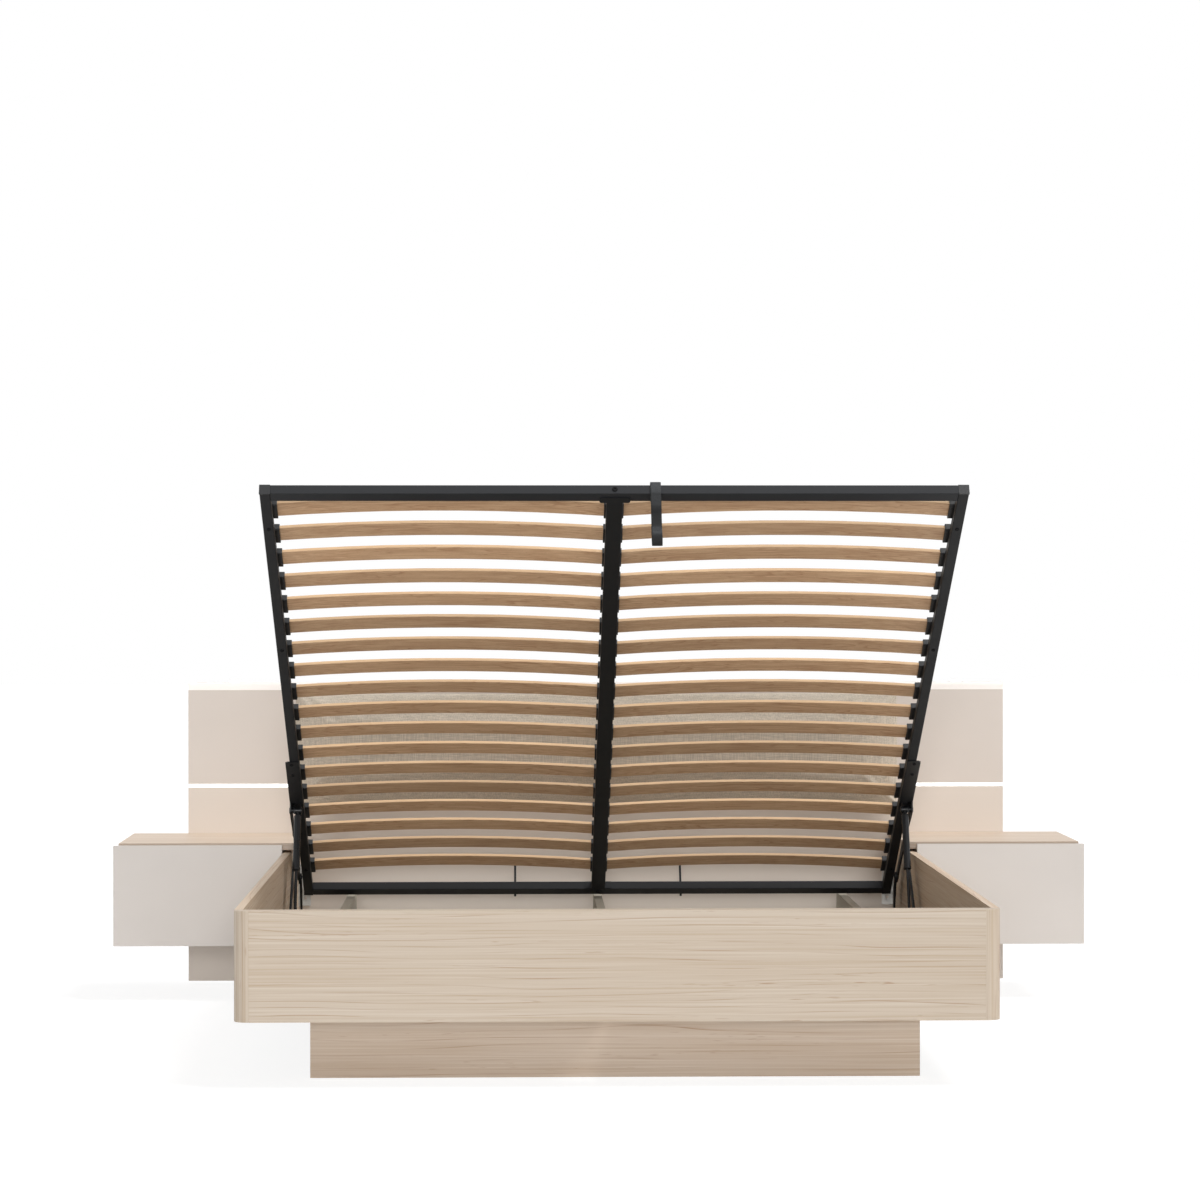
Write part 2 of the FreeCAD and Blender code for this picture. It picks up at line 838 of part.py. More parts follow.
def centre_beam():
    y0 = -frame_length + cross_tube_width
    half = beam_width / 2
    return raised(tube(-half, half, y0, -cross_tube_width, "y"))


def end_caps():
    """Plastic caps in the four open ends of the side tubes."""
    lip = end_cap_lip
    inset = tube_wall + plug_clearance
    caps = []
    for y0, y1, plug0, plug1 in (
        (-end_cap_thickness, 0, -end_cap_thickness - end_cap_plug, -end_cap_thickness),
        (-frame_length, -frame_length + end_cap_thickness,
         -frame_length + end_cap_thickness, -frame_length + end_cap_thickness + end_cap_plug),
    ):
        cap = box(tube_inner, half_frame + lip, y0, y1, -lip, tube_height + lip)
        plug = box(
            tube_inner + inset, half_frame - inset,
            plug0, plug1, inset, tube_height - inset,
        )
        cap = cap.fuse(plug).removeSplitter()
        caps += [cap, mirrored(cap)]
    return raised(Part.makeCompound(caps))


def beam_plates():
    """Joining plates: under the foot tube and on the inner face of the head tube."""
    half = beam_plate_width / 2
    y0 = -frame_length + cross_tube_width - beam_plate_lap
    under = box(-half, half, y0, y0 + beam_plate_length, -beam_plate_thickness, 0)
    upright = [edge for edge in under.Edges if edge.BoundBox.ZLength > beam_plate_thickness / 2]
    under = under.makeFillet(beam_plate_radius, upright)
    inset = (tube_height - beam_plate_length) / 2
    y1 = -cross_tube_width
    wing = box(
        beam_width / 2, half,
        y1 - beam_plate_thickness, y1, inset, tube_height - inset,
    )
    return raised(Part.makeCompound([under, wing, mirrored(wing)]))


slat_pitch = (frame_length - 2 * slat_first_station) / (slat_count - 1)
slat_stations = [slat_first_station + slat_pitch * i for i in range(slat_count)]
slat_under = tube_height + slat_seat
slat_outer = tube_inner - holder_overhang + slat_insert


def slat(station):
    """Bowed strip: two parallel arcs across X, extruded over the strip's width."""
    x0 = slat_end_gap
    x1 = slat_outer
    middle = (x0 + x1) / 2
    y0 = -station - slat_width / 2
    low = slat_under
    high = slat_under + slat_thickness
    edges = [
        Part.Arc(V(x0, y0, low), V(middle, y0, low + slat_crown), V(x1, y0, low)).toShape(),
        Part.LineSegment(V(x1, y0, low), V(x1, y0, high)).toShape(),
        Part.Arc(V(x1, y0, high), V(middle, y0, high + slat_crown), V(x0, y0, high)).toShape(),
        Part.LineSegment(V(x0, y0, high), V(x0, y0, low)).toShape(),
    ]
    return Part.Face(Part.Wire(edges)).extrude(V(0, slat_width, 0))


def slats():
    return raised(Part.makeCompound([slat(station) for station in slat_stations]))


pocket_low = slat_under - holder_clearance
pocket_high = slat_under + slat_thickness + holder_slope_room + holder_clearance
holder_top = pocket_high + holder_roof
pocket_half = slat_width / 2 + holder_clearance


def holder_block(x0, x1, station):
    """Solid outside of a holder, its lower edges sloped towards the tube."""
    y0 = -station - holder_length / 2
    y1 = -station + holder_length / 2
    low = tube_height + holder_chamfer_height
    outline = [
        (y0, low),
        (y0 + holder_chamfer_length, tube_height),
        (y1 - holder_chamfer_length, tube_height),
        (y1, low),
        (y1, holder_top),
        (y0, holder_top),
    ]
    return plate_yz(outline, x0, x1)


def side_slat_holders():
    """Plastic end caps on the side tubes, each with a pocket for one slat end."""
    x0 = tube_inner - holder_overhang
    x1 = slat_outer + holder_clearance + holder_roof
    holders = []
    for station in slat_stations:
        y = -station
        cap = holder_block(x0, x1, station)
        pocket = box(
            x0, slat_outer + holder_clearance,
            y - pocket_half, y + pocket_half, pocket_low, pocket_high,
        )
        cap = cap.cut(pocket)
        holders += [cap, mirrored(cap)]
    return raised(Part.makeCompound(holders))


def centre_slat_holders():
    """Double holders on the centre beam, with a wall between the two slat ends."""
    half_width = beam_width / 2 + centre_holder_overhang
    wall = slat_end_gap - holder_clearance
    holders = []
    for station in slat_stations:
        y = -station
        cap = holder_block(-half_width, half_width, station)
        pocket = box(wall, half_width, y - pocket_half, y + pocket_half, pocket_low, pocket_high)
        cap = cap.cut(pocket).cut(mirrored(pocket))
        holders.append(cap)
    return raised(Part.makeCompound(holders))


def mattress_stop():
    """Bent wire hoop behind the head tube, standing up on the mattress side."""
    y = stop_wire_radius + stop_gap
    x = stop_half_width
    r = stop_bend_radius
    bend_start = stop_height - stop_wire_radius - r
    corners = []
    for i in range(stop_wire_sides):
        turn = math.radians(180 * (2 * i + 1) / stop_wire_sides)
        radius = stop_wire_radius / math.cos(math.radians(180 / stop_wire_sides))
        corners.append(V(x + radius * math.cos(turn), y + radius * math.sin(turn), bend_start))
    section = Part.Face(Part.makePolygon(corners + corners[:1]))
    leg = section.extrude(V(0, 0, -bend_start - stop_leg_below))
    bend = section.revolve(V(x - r, y, bend_start), V(0, 1, 0), -90)
    across = section.copy()
    across.rotate(V(x - r, y, bend_start), V(0, 1, 0), -90)
    bar = across.extrude(V(-2 * (x - r), 0, 0))
    hoop = bar.fuse([leg, bend, mirrored(leg), mirrored(bend)])
    return raised(hoop)


def pull_strap():
    """Webbing round the foot tube, hanging down in front of it with a curled end."""
    x0 = strap_place - strap_width / 2
    inner = strap_gap
    outer = strap_gap + strap_thickness
    y0 = -frame_length
    y1 = -frame_length + cross_tube_width
    band = box(x0, x0 + strap_width, y0 - outer, y1 + outer, -outer, tube_height + outer)
    band = band.cut(box(x0, x0 + strap_width, y0 - inner, y1 + inner, -inner, tube_height + inner))
    band = raised(band)
    head_y, head_z = at(raised_head_y, -raised_head_drop)
    reach = frame_length + outer
    edge_y = head_y - reach * math.cos(tilt)
    edge_z = head_z + reach * math.sin(tilt)
    t = strap_thickness
    r = strap_curl_radius
    bottom = edge_z - strap_tail + r
    tail = box(x0, x0 + strap_width, edge_y, edge_y + t, bottom, edge_z + t)
    ring = Part.makeCylinder(r, strap_width, V(x0, edge_y + r, bottom), V(1, 0, 0))
    ring = ring.cut(Part.makeCylinder(r - t, strap_width, V(x0, edge_y + r, bottom), V(1, 0, 0)))
    ring = ring.common(box(x0, x0 + strap_width, edge_y, edge_y + 2 * r, bottom - r, bottom))
    return band.fuse([tail, ring]).removeSplitter()


def build():
    os.makedirs("parts", exist_ok=True)
    save("foot_panel", foot_panel())
    save("corner_posts", both(corner_post()))
    save_pair("side_rail", side_rail())
    save("plinth_front", plinth_front())
    save("plinth_back", plinth_back())
    save_pair("plinth_board", plinth_board_side())
    save("plinth_board_centre", plinth_board_centre())
    save("storage_floors", storage_floors())
    save("headboard_lower", headboard_lower())
    save("headboard_upper", headboard_upper())
    save("headboard_trim", headboard_trim())
    save("light_profile", light_profile())
    save("light_diffuser", light_diffuser())
    save("headboard_cushion", headboard_cushion())
    save("wall_brackets", wall_brackets())
    save("corner_brackets", corner_brackets())
    save_pair("nightstand_top", nightstand_top())
    save("nightstand_inner_sides", both(nightstand_inner_side()))
    save("nightstand_outer_sides", both(nightstand_outer_side()))
    save("nightstand_bottoms", both(nightstand_bottom()))
    save("nightstand_backs", both(nightstand_back()))
    save("nightstand_runners", nightstand_runners())
    save_pair("drawer_front", drawer_front())
    save_pair("drawer_tray", drawer_tray())
    save_pair("drawer_bottom", drawer_bottom())
    save_pair("drawer_runners", drawer_runners())
    save_pair("base_bar", base_bar())
    save_pair("front_arm", front_arm())
    save_pair("rear_arm", rear_arm())
    save_pair("upper_bar", upper_bar())
    save_pair("gas_cylinder", gas_cylinder())
    save_pair("gas_rod", gas_rod())
    save_pair("side_tube", side_tube())
    save("foot_tube", foot_tube())
    save("head_tube", head_tube())
    save("centre_beam", centre_beam())
    save("end_caps", end_caps())
    save("beam_plates", beam_plates())
    save_pair("slats", slats())
    save("side_slat_holders", side_slat_holders())
    save("centre_slat_holders", centre_slat_holders())
    save("mattress_stop", mattress_stop())
    save("pull_strap", pull_strap())


build()
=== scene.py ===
"""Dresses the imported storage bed: boards, headboard, back rest, slats, steel, strap and light.

Metres, in the row frame: X across the bed, +Y from the foot to the headboard, +Z up.
At rest the lift frame is raised. A place on it is given by its station, the distance
from its head end, and its height over the underside of its tubes.
"""

import math

import bmesh
import bpy
from bpy.props import FloatProperty, FloatVectorProperty, PointerProperty
from mathutils import Matrix, Vector


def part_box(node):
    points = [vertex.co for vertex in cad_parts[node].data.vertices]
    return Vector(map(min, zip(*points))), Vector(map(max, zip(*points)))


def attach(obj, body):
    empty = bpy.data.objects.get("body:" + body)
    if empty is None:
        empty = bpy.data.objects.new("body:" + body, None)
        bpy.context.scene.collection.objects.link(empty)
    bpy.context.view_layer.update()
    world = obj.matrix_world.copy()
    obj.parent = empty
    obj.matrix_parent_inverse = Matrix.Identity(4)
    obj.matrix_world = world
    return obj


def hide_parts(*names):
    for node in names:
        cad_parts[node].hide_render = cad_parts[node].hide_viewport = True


bl_info = {
    "name": "Storage bed",
    "version": (1, 0, 0),
    "blender": (4, 5, 0),
    "location": "View3D > Sidebar > Bed",
    "description": "Finishes, soft parts and small fittings of a bed with a raised slatted frame",
    "category": "Object",
}

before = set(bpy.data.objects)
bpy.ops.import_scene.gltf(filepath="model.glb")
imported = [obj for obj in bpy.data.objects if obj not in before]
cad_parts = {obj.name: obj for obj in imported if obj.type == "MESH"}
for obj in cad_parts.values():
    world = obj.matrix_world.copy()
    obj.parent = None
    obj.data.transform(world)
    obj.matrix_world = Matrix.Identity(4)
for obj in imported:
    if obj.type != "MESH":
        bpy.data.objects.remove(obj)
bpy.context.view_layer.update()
SIDES = ("left", "right")
MM = 1000.0

# Raised lift frame: its tilt, and its head end's underside as (Y, Z)
TILT = math.radians(31.7)
HEAD_END = (0.873, 0.260)
FRAME_LENGTH = 2.0
TUBE_WIDTH, TUBE_HEIGHT = 0.032, 0.023
SLAT_FIRST = 0.115
SLAT_PITCH = 1.770 / 17

# Screws under the frame: their stations, and how far out from the middle they sit
TUBE_SCREWS, TUBE_SCREW_X = (1.849, 1.306, 0.147), 0.788
FLANGE_SCREWS, FLANGE_SCREW_X = (0.739, 0.684), 0.795
FLANGE_UNDERSIDE = -0.003

# Gas strut's upper pin as (station, height). A bush between its eye and the bar, and a
# tongue of the bar's flange over it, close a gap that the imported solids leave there.
STRUT_PIN = (0.510, -0.012)
STRUT_EYE_FACE, UPPER_BAR_FACE = 0.7973, 0.8070
BUSH_PROFILE = (
    (0, 0.0042, False),
    (0.0084, 0.0042, False),
    (0.009, 0.0036, False),
    (0.009, 0, False),
)
FLANGE_TONGUE = (0.503, 0.532)

# Pull strap's hanging end, from the tube's lower edge: out towards the foot and down,
# both as shares of its drop. It sways in, flares out, and turns under to end upwards.
STRAP_HANG = (
    (-0.015, 0.05), (-0.04, 0.15), (-0.06, 0.25), (-0.045, 0.32), (-0.015, 0.38),
    (0.005, 0.48), (0.01, 0.6), (-0.01, 0.66), (-0.075, 0.715), (-0.115, 0.765),
    (-0.12, 0.83), (-0.09, 0.92), (-0.03, 0.985), (0.04, 0.975), (0.075, 0.88),
    (0.08, 0.76), (0.085, 0.62),
)
STRAP_CLEARANCE = 0.0003

# A wave texture of this scale has one band per millimetre
WAVE_PER_MM = 2 * math.pi / 20

# Turns, in degrees, that lay a board's length along the texture's X axis
GRAIN_ACROSS = (0, 0, 0)
GRAIN_ALONG = (0, 0, -90)
GRAIN_UPRIGHT = (0, 90, 0)


def to_linear(hex_colour):
    """An sRGB hex value as linear red, green and blue."""
    channels = [int(hex_colour[i:i + 2], 16) / 255 for i in (1, 3, 5)]
    return [c / 12.92 if c <= 0.04045 else ((c + 0.055) / 1.055) ** 2.4 for c in channels]


def on_frame(x, station, height):
    """Point of the raised lift frame in the row frame."""
    y = HEAD_END[0] - station * math.cos(TILT) + height * math.sin(TILT)
    z = HEAD_END[1] + station * math.sin(TILT) + height * math.cos(TILT)
    return Vector((x, y, z))


TO_FOOT = on_frame(0, 1, 0) - on_frame(0, 0, 0)
FRAME_UP = on_frame(0, 0, 1) - on_frame(0, 0, 0)


def size(name, description, default, unit="LENGTH", **limits):
    """A size that a user may change, in metres unless unit says otherwise."""
    return FloatProperty(name=name, description=description, default=default,
                         unit=unit, precision=4, **limits)


def colour(name, description, hex_colour):
    """A colour that a user may change, given as an sRGB hex value."""
    return FloatVectorProperty(name=name, description=description, subtype="COLOR",
                               size=3, min=0, max=1, default=to_linear(hex_colour))


class BedSizes(bpy.types.PropertyGroup):
    """Sizes of edges, soft parts and small fittings."""
    board_edge: size("Board edge", "Radius of the banded edges of the boards", 0.0009)
    tube_edge: size("Tube edge", "Outer radius of the steel tubes' corners", 0.0022)
    slat_edge: size("Slat edge", "Radius along the slats' long edges", 0.0018)
    plastic_edge: size("Plastic edge", "Radius on the slat holders and end caps", 0.0009)
    plate_edge: size("Plate edge", "Radius on the edges of the steel plates", 0.0005)
    pad_voxel: size("Pad voxel", "Mesh size of the back rest while it is simulated", 0.0055)
    pad_start: size("Pad start", "How much thinner the back rest starts than its room", 0.007)
    pad_cap: size("Pad cap", "Furthest that the cloth may push the back rest out", 0.009)
    pad_pressure: FloatProperty(name="Pad pressure", default=4.0,
                                description="Pressure that swells the back rest")
    strap_width: size("Strap width", "Width of the pull strap's webbing", 0.024)
    strap_thickness: size("Strap thickness", "Thickness of the pull strap's webbing", 0.0019)
    strap_drop: size("Strap drop", "How far the strap hangs below the foot tube", 0.119)
    strap_slack: size("Strap slack", "How far the strap's loop stands off the tube's top", 0.0078)
    strap_lean: size("Strap lean", "Sideways drift of the strap's hanging end", 0.0035)
    screw_radius: size("Screw radius", "Radius of the screw heads on the steel frame", 0.0048)
    screw_height: size("Screw height", "Height of the screw heads", 0.0022)


class BedColours(bpy.types.PropertyGroup):
    """Colours of the finishes."""
    ash_ground: colour("Ash ground", "Printed ash, between its growth lines", "#C0AF9B")
    ash_pale: colour("Ash pale", "Pale lines of the printed ash", "#D3C8BA")
    ash_line: colour("Ash line", "Strong brown lines of the printed ash", "#A07E60")
    inside: colour("Inside board", "Plain boards inside the box", "#A49E91")
    cashmere: colour("Cashmere", "Matt headboard and nightstands", "#D8CEC5")
    # Painted light: the lower panel is painted lighter than the upper one, for the glow of the
    # light line above it.
    cashmere_glow_lit: colour("Lower panel", "Headboard panel under the light line", "#DDD2C7")
    trim: colour("Trim", "Pale moulding along the headboard's top", "#FBF5EF")
    drawer: colour("Drawer front", "Matt drawer fronts", "#D2CBC5")
    fabric: colour("Fabric", "Woven cover of the back rest", "#C6BBAB")
    beech: colour("Beech", "Bent slats of beech veneer", "#D9B691")
    beech_dark: colour("Beech grain", "Darker grain of the slats", "#AD8260")
    # Paler long edges: partly the cut veneers' own tone, partly a painted highlight.
    beech_edge_and_highlight: colour("Beech edge", "Long edges of the slats", "#E8C79C")
    black_steel: colour("Black steel", "Powder coat of frame and linkage", "#151618")
    black_plastic: colour("Black plastic", "Slat holders and end caps", "#161719")
    webbing: colour("Webbing", "Pull strap", "#0C0D0E")
    zinc: colour("Zinc", "Plated brackets and runners", "#C9C8C4")


# Shader building

def add_node(tree, kind, inputs=None, stops=None, output=0, **settings):
    """Adds a node and returns one of its outputs. Each input is a value or the socket
    that feeds it; stops fill a ramp."""
    node = tree.nodes.new("ShaderNode" + kind)
    for name, value in settings.items():
        setattr(node, name, value)
    for key, value in (inputs or {}).items():
        if isinstance(value, bpy.types.NodeSocket):
            tree.links.new(value, node.inputs[key])
        else:
            node.inputs[key].default_value = value
    if stops:
        elements = node.color_ramp.elements
        while len(elements) < len(stops):
            elements.new(1.0)
        for element, (place, level) in zip(elements, stops):
            element.position = place
            element.color = (level, level, level, 1.0)
    return node.outputs[output]


def new_material(name, roughness, **sockets):
    """A material with one Principled shader. Returns it with its tree and that shader."""
    material = bpy.data.materials.new(name)
    material.use_nodes = True
    tree = material.node_tree
    shader = tree.nodes["Principled BSDF"]
    shader.inputs["Roughness"].default_value = roughness
    for key, value in sockets.items():
        shader.inputs[key.replace("_", " ")].default_value = value
    return material, tree, shader


def rgba(rgb):
    return (*rgb, 1.0)


def in_millimetres(tree, turn=(0, 0, 0)):
    """Object coordinates in millimetres, turned so that the grain runs along X."""
    place = add_node(tree, "TexCoord", output="Object")
    angles = [math.radians(a) for a in turn]
    return add_node(tree, "Mapping", {"Vector": place, "Rotation": angles, "Scale": (MM, MM, MM)})


def grained(tree, place, along, across, offset=0.0, detail=1.0, distortion=0.0):
    """Noise whose patches are about along by across millimetres, grey from 0 to 1."""
    scaled = add_node(tree, "Mapping", {
        "Vector": place,
        "Location": (offset, offset, offset),
        "Scale": (1 / along, 1 / across, 1 / across),
    })
    return add_node(tree, "TexNoise", {
        "Vector": scaled, "Scale": 1.0, "Detail": detail, "Distortion": distortion,
    })


def sum_of(tree, a, b):
    return add_node(tree, "Math", {0: a, 1: b}, operation="ADD")


def product_of(tree, a, b):
    return add_node(tree, "Math", {0: a, 1: b}, operation="MULTIPLY")


def blended(tree, share, a, b):
    """Colour a, turning to b as share goes from 0 to 1."""
    return add_node(tree, "Mix", {0: share, 6: a, 7: b}, output=2, data_type="RGBA")


def ramped(tree, level, *stops):
    """A level from 0 to 1, reshaped by (place, level) stops."""
    return add_node(tree, "ValToRGB", {0: level}, stops=stops)


def set_bump(tree, shader, height, distance):
    """Fine relief of the given height, in metres."""
    normal = add_node(tree, "Bump", {"Height": height, "Strength": 1.0, "Distance": distance})
    tree.links.new(normal, shader.inputs["Normal"])


# Materials, each named for what the real surface is

def ash_laminate(name, turn, colours, shift=0.0, painted_light_tint=(1, 1, 1), foot_edge_unshaded=1.0):
    """Melamine-faced board with a printed ash grain, satin from its embossed pores: thin
    pale and brown lines run almost straight, and a few stronger brown ones bend, part and
    fade, with short flecks and rare pin knots. The tint is painted light: it lightens this
    copy of the print for how brightly its board is lit. The foot edge setting paints shade
    on the edge band that faces the foot."""
    material, tree, shader = new_material(name, roughness=0.5)
    # Painted light: the tint lightens every colour of this copy of the print, for how brightly its
    # board is lit.
    ground, pale_ash, brown_ash = (
        [min(1.0, c * t) for c, t in zip(rgb, painted_light_tint)]
        for rgb in (colours.ash_ground, colours.ash_pale, colours.ash_line))
    place = in_millimetres(tree, turn)
    over_grain = add_node(tree, "SeparateXYZ", {0: place}, output=2)
    into_board = add_node(tree, "SeparateXYZ", {0: place}, output=1)
    side = sum_of(tree, over_grain, product_of(tree, into_board, 0.7))
    wander = grained(tree, place, 760, 88, offset=3.1 + shift, detail=1.5)
    ring_spacing = 17.0
    rings = add_node(tree, "Math", {0: side, 1: 1 / ring_spacing, 2: shift},
                     operation="MULTIPLY_ADD")
    rings = add_node(tree, "Math", {0: wander, 1: 3.6, 2: rings}, operation="MULTIPLY_ADD")
    phase = add_node(tree, "Math", {0: rings}, operation="FRACT")
    line = ramped(tree, phase, (0, 0.0), (0.04, 1), (0.09, 0.35), (0.2, 0.0))
    strength = grained(tree, place, 260, 11, offset=9.4 + shift, detail=2)
    line = product_of(tree, line, ramped(tree, strength, (0.42, 0.08), (0.64, 1.0)))
    brown = grained(tree, place, 520, 4.4, offset=5.3 + shift, detail=3)
    brown = ramped(tree, brown, (0.47, 0.0), (0.70, 0.62))
    pale = grained(tree, place, 600, 3.9, offset=8.8 + shift, detail=3)
    pale = ramped(tree, pale, (0.47, 0.0), (0.70, 0.62))
    band = grained(tree, place, 1300, 42, offset=1.7 + shift, detail=2)
    band = ramped(tree, band, (0.3, 0), (0.7, 1))
    fleck = ramped(tree, grained(tree, place, 46, 2.8, offset=7.7 + shift), (0.62, 0), (0.74, 1))
    where = ramped(tree, grained(tree, place, 420, 15, offset=2.9 + shift), (0.56, 0), (0.68, 0.8))
    marks = add_node(tree, "Math", {0: line, 1: product_of(tree, fleck, where)},
                     operation="MAXIMUM")
    tone = rgba([g + (p - g) * 0.35 for g, p in zip(ground, pale_ash)])
    base = blended(tree, band, rgba(ground), tone)
    base = blended(tree, pale, base, rgba(pale_ash))
    base = blended(tree, brown, base, rgba([c * s for c, s in zip(ground, (0.90, 0.84, 0.76))]))
    base = blended(tree, product_of(tree, marks, 0.9), base, rgba(brown_ash))
    spread = add_node(tree, "Mapping", {
        "Vector": place, "Location": (shift, 0.3, shift), "Scale": (1 / 520, 1 / 150, 1 / 150),
    })
    knots = ramped(tree, add_node(tree, "TexVoronoi", {"Vector": spread, "Scale": 1.0}),
                   (0.0, 0.7), (0.02, 0.0))
    base = blended(tree, knots, base, rgba([c * 0.55 for c in brown_ash]))
    # Painted shade: faces that look to the foot turn towards a deep brown, as if shaded by the gap
    # under the nightstand tops' front edges.
    if foot_edge_unshaded != 1:
        normal = add_node(tree, "NewGeometry", output="True Normal")
        facing = add_node(tree, "VectorMath", {0: normal, 1: (0, -1, 0)}, output="Value",
                          operation="DOT_PRODUCT")
        painted_shade = ramped(tree, facing, (0.3, 0.0), (0.7, 1.0 - foot_edge_unshaded))
        base = blended(tree, painted_shade, base, rgba([c * 0.3 for c in brown_ash]))
    tree.links.new(base, shader.inputs["Base Color"])
    pores = grained(tree, place, 18, 0.9, offset=4.1)
    set_bump(tree, shader, sum_of(tree, pores, product_of(tree, marks, -0.5)), 0.00005)
    return material


def plain_board(name, rgb, roughness=0.55):
    """Melamine-faced or lacquered board in one matt colour, with a faint cloudy tone and
    the fine grit of its embossing, drawn at 2 mm so that it shows."""
    material, tree, shader = new_material(name, roughness)
    place = in_millimetres(tree)
    cloud = ramped(tree, grained(tree, place, 260, 190, detail=2), (0.3, 0.0), (0.7, 1.0))
    grit = grained(tree, place, 2.0, 2.0, offset=6.0, detail=2)
    tone = sum_of(tree, product_of(tree, cloud, 0.7), product_of(tree, grit, 0.3))
    light = rgba([min(1.0, c * 1.022) for c in rgb])
    base = blended(tree, tone, rgba([c * 0.972 for c in rgb]), light)
    tree.links.new(base, shader.inputs["Base Color"])
    set_bump(tree, shader, grit, 0.00004)
    return material


def woven_cover(name, colours):
    """Flat-woven upholstery cloth of heathered yarn: light and dark threads cross, each
    drawn 2.4 mm wide so that the weave shows, with slubs along both ways."""
    material, tree, shader = new_material(name, roughness=0.92, Sheen_Weight=0.25,
                                          Sheen_Roughness=0.5)
    place = in_millimetres(tree)
    thread = 2.4
    ways = []
    for direction in ("X", "Z"):
        ways.append(add_node(tree, "TexWave", {
            "Vector": place, "Scale": WAVE_PER_MM / thread,
            "Distortion": 0.6, "Detail": 1.0, "Detail Scale": 0.3,
        }, output="Fac", bands_direction=direction))
    weave = product_of(tree, ways[0], ways[1])
    warp = grained(tree, in_millimetres(tree, GRAIN_UPRIGHT), 34, 2.2, detail=2)
    weft = grained(tree, place, 30, 2.2, offset=5, detail=2)
    yarn = sum_of(tree, product_of(tree, warp, 0.5), product_of(tree, weft, 0.5))
    yarn = ramped(tree, yarn, (0.36, 0.0), (0.64, 1.0))
    dark = rgba([c * 0.78 for c in colours.fabric])
    light = rgba([min(1.0, c * 1.2) for c in colours.fabric])
    base = blended(tree, yarn, dark, light)
    base = blended(tree, product_of(tree, weave, 0.35), base, light)
    tree.links.new(base, shader.inputs["Base Color"])
    set_bump(tree, shader, sum_of(tree, weave, yarn), 0.0003)
    return material


def bent_beech(name, colours):
    """Slats glued up from beech veneers and lacquered thin: straight grain along the slat
    with flame figure, short flecks, each slat of its own tone, and the veneers' lines on
    the long edges."""
    material, tree, shader = new_material(name, roughness=0.45)
    in_metres = add_node(tree, "TexCoord", output="Object")
    toward = [c / SLAT_PITCH for c in TO_FOOT]
    start = -(Vector((0, *HEAD_END)).dot(TO_FOOT) + SLAT_FIRST) / SLAT_PITCH
    station = add_node(tree, "VectorMath", {0: in_metres, 1: toward}, output="Value",
                       operation="DOT_PRODUCT")
    number = add_node(tree, "Math", {0: sum_of(tree, station, start + 0.5)}, operation="FLOOR")
    across = add_node(tree, "SeparateXYZ", {0: in_metres}, output="X")
    right = add_node(tree, "Math", {0: across, 1: 0.0}, operation="GREATER_THAN")
    number = add_node(tree, "Math", {0: right, 1: 40.0, 2: number}, operation="MULTIPLY_ADD")
    tone = add_node(tree, "TexWhiteNoise", {"W": number}, noise_dimensions="1D")
    moved = add_node(tree, "CombineXYZ", {0: product_of(tree, number, 57.3)})
    board = add_node(tree, "VectorMath", {0: in_millimetres(tree), 1: moved}, operation="ADD")
    grain = grained(tree, board, 150, 2.6, detail=3, distortion=0.5)
    grain = ramped(tree, grain, (0.36, 0.0), (0.7, 0.8))
    wander = grained(tree, board, 330, 26, offset=4, detail=1.5)
    flame = add_node(tree, "Math", {0: product_of(tree, wander, 13.0)}, operation="FRACT")
    flame = ramped(tree, flame, (0.0, 0.0), (0.1, 1.0), (0.35, 0.2), (1.0, 0.0))
    figured = ramped(tree, grained(tree, board, 260, 40), (0.38, 0.1), (0.54, 1.0))
    flame = product_of(tree, flame, figured)
    fleck = ramped(tree, grained(tree, board, 9, 1.3, offset=8), (0.6, 0.0), (0.75, 0.5))
    pale, dark = rgba(colours.beech), rgba(colours.beech_dark)
    base = blended(tree, grain, pale, dark)
    base = blended(tree, product_of(tree, flame, 0.85), base, dark)
    base = blended(tree, fleck, base, rgba([c * 0.8 for c in colours.beech_dark]))
    height = add_node(tree, "VectorMath", {0: in_metres, 1: FRAME_UP * MM}, output="Value",
                      operation="DOT_PRODUCT")
    bow = product_of(tree, wander, 0.4)
    veneer = 1.5
    ply = add_node(tree, "Math", {0: height, 1: 1 / veneer, 2: bow}, operation="MULTIPLY_ADD")
    ply = add_node(tree, "Math", {0: ply}, operation="FRACT")
    normal = add_node(tree, "NewGeometry", output="True Normal")
    facing = add_node(tree, "VectorMath", {0: normal, 1: FRAME_UP}, output="Value",
                      operation="DOT_PRODUCT")
    edge = add_node(tree, "Math", {0: facing}, operation="ABSOLUTE")
    edge = ramped(tree, edge, (0.3, 1.0), (0.6, 0.0))
    ply = ramped(tree, ply, (0.0, 0.4), (0.12, 0.05), (0.7, 0.0), (0.95, 0.25))
    ply = product_of(tree, edge, ply)
    # The long edges are painted paler: partly the cut veneers' own tone, partly a painted
    # highlight where they catch the light.
    base = blended(tree, product_of(tree, edge, 0.6), base, rgba(colours.beech_edge_and_highlight))
    base = blended(tree, ply, base, dark)
    base = blended(tree, ramped(tree, tone, (0, 0.80), (1, 1.0)), (0, 0, 0, 1), base)
    tree.links.new(base, shader.inputs["Base Color"])
    set_bump(tree, shader, grain, 0.00006)
    return material


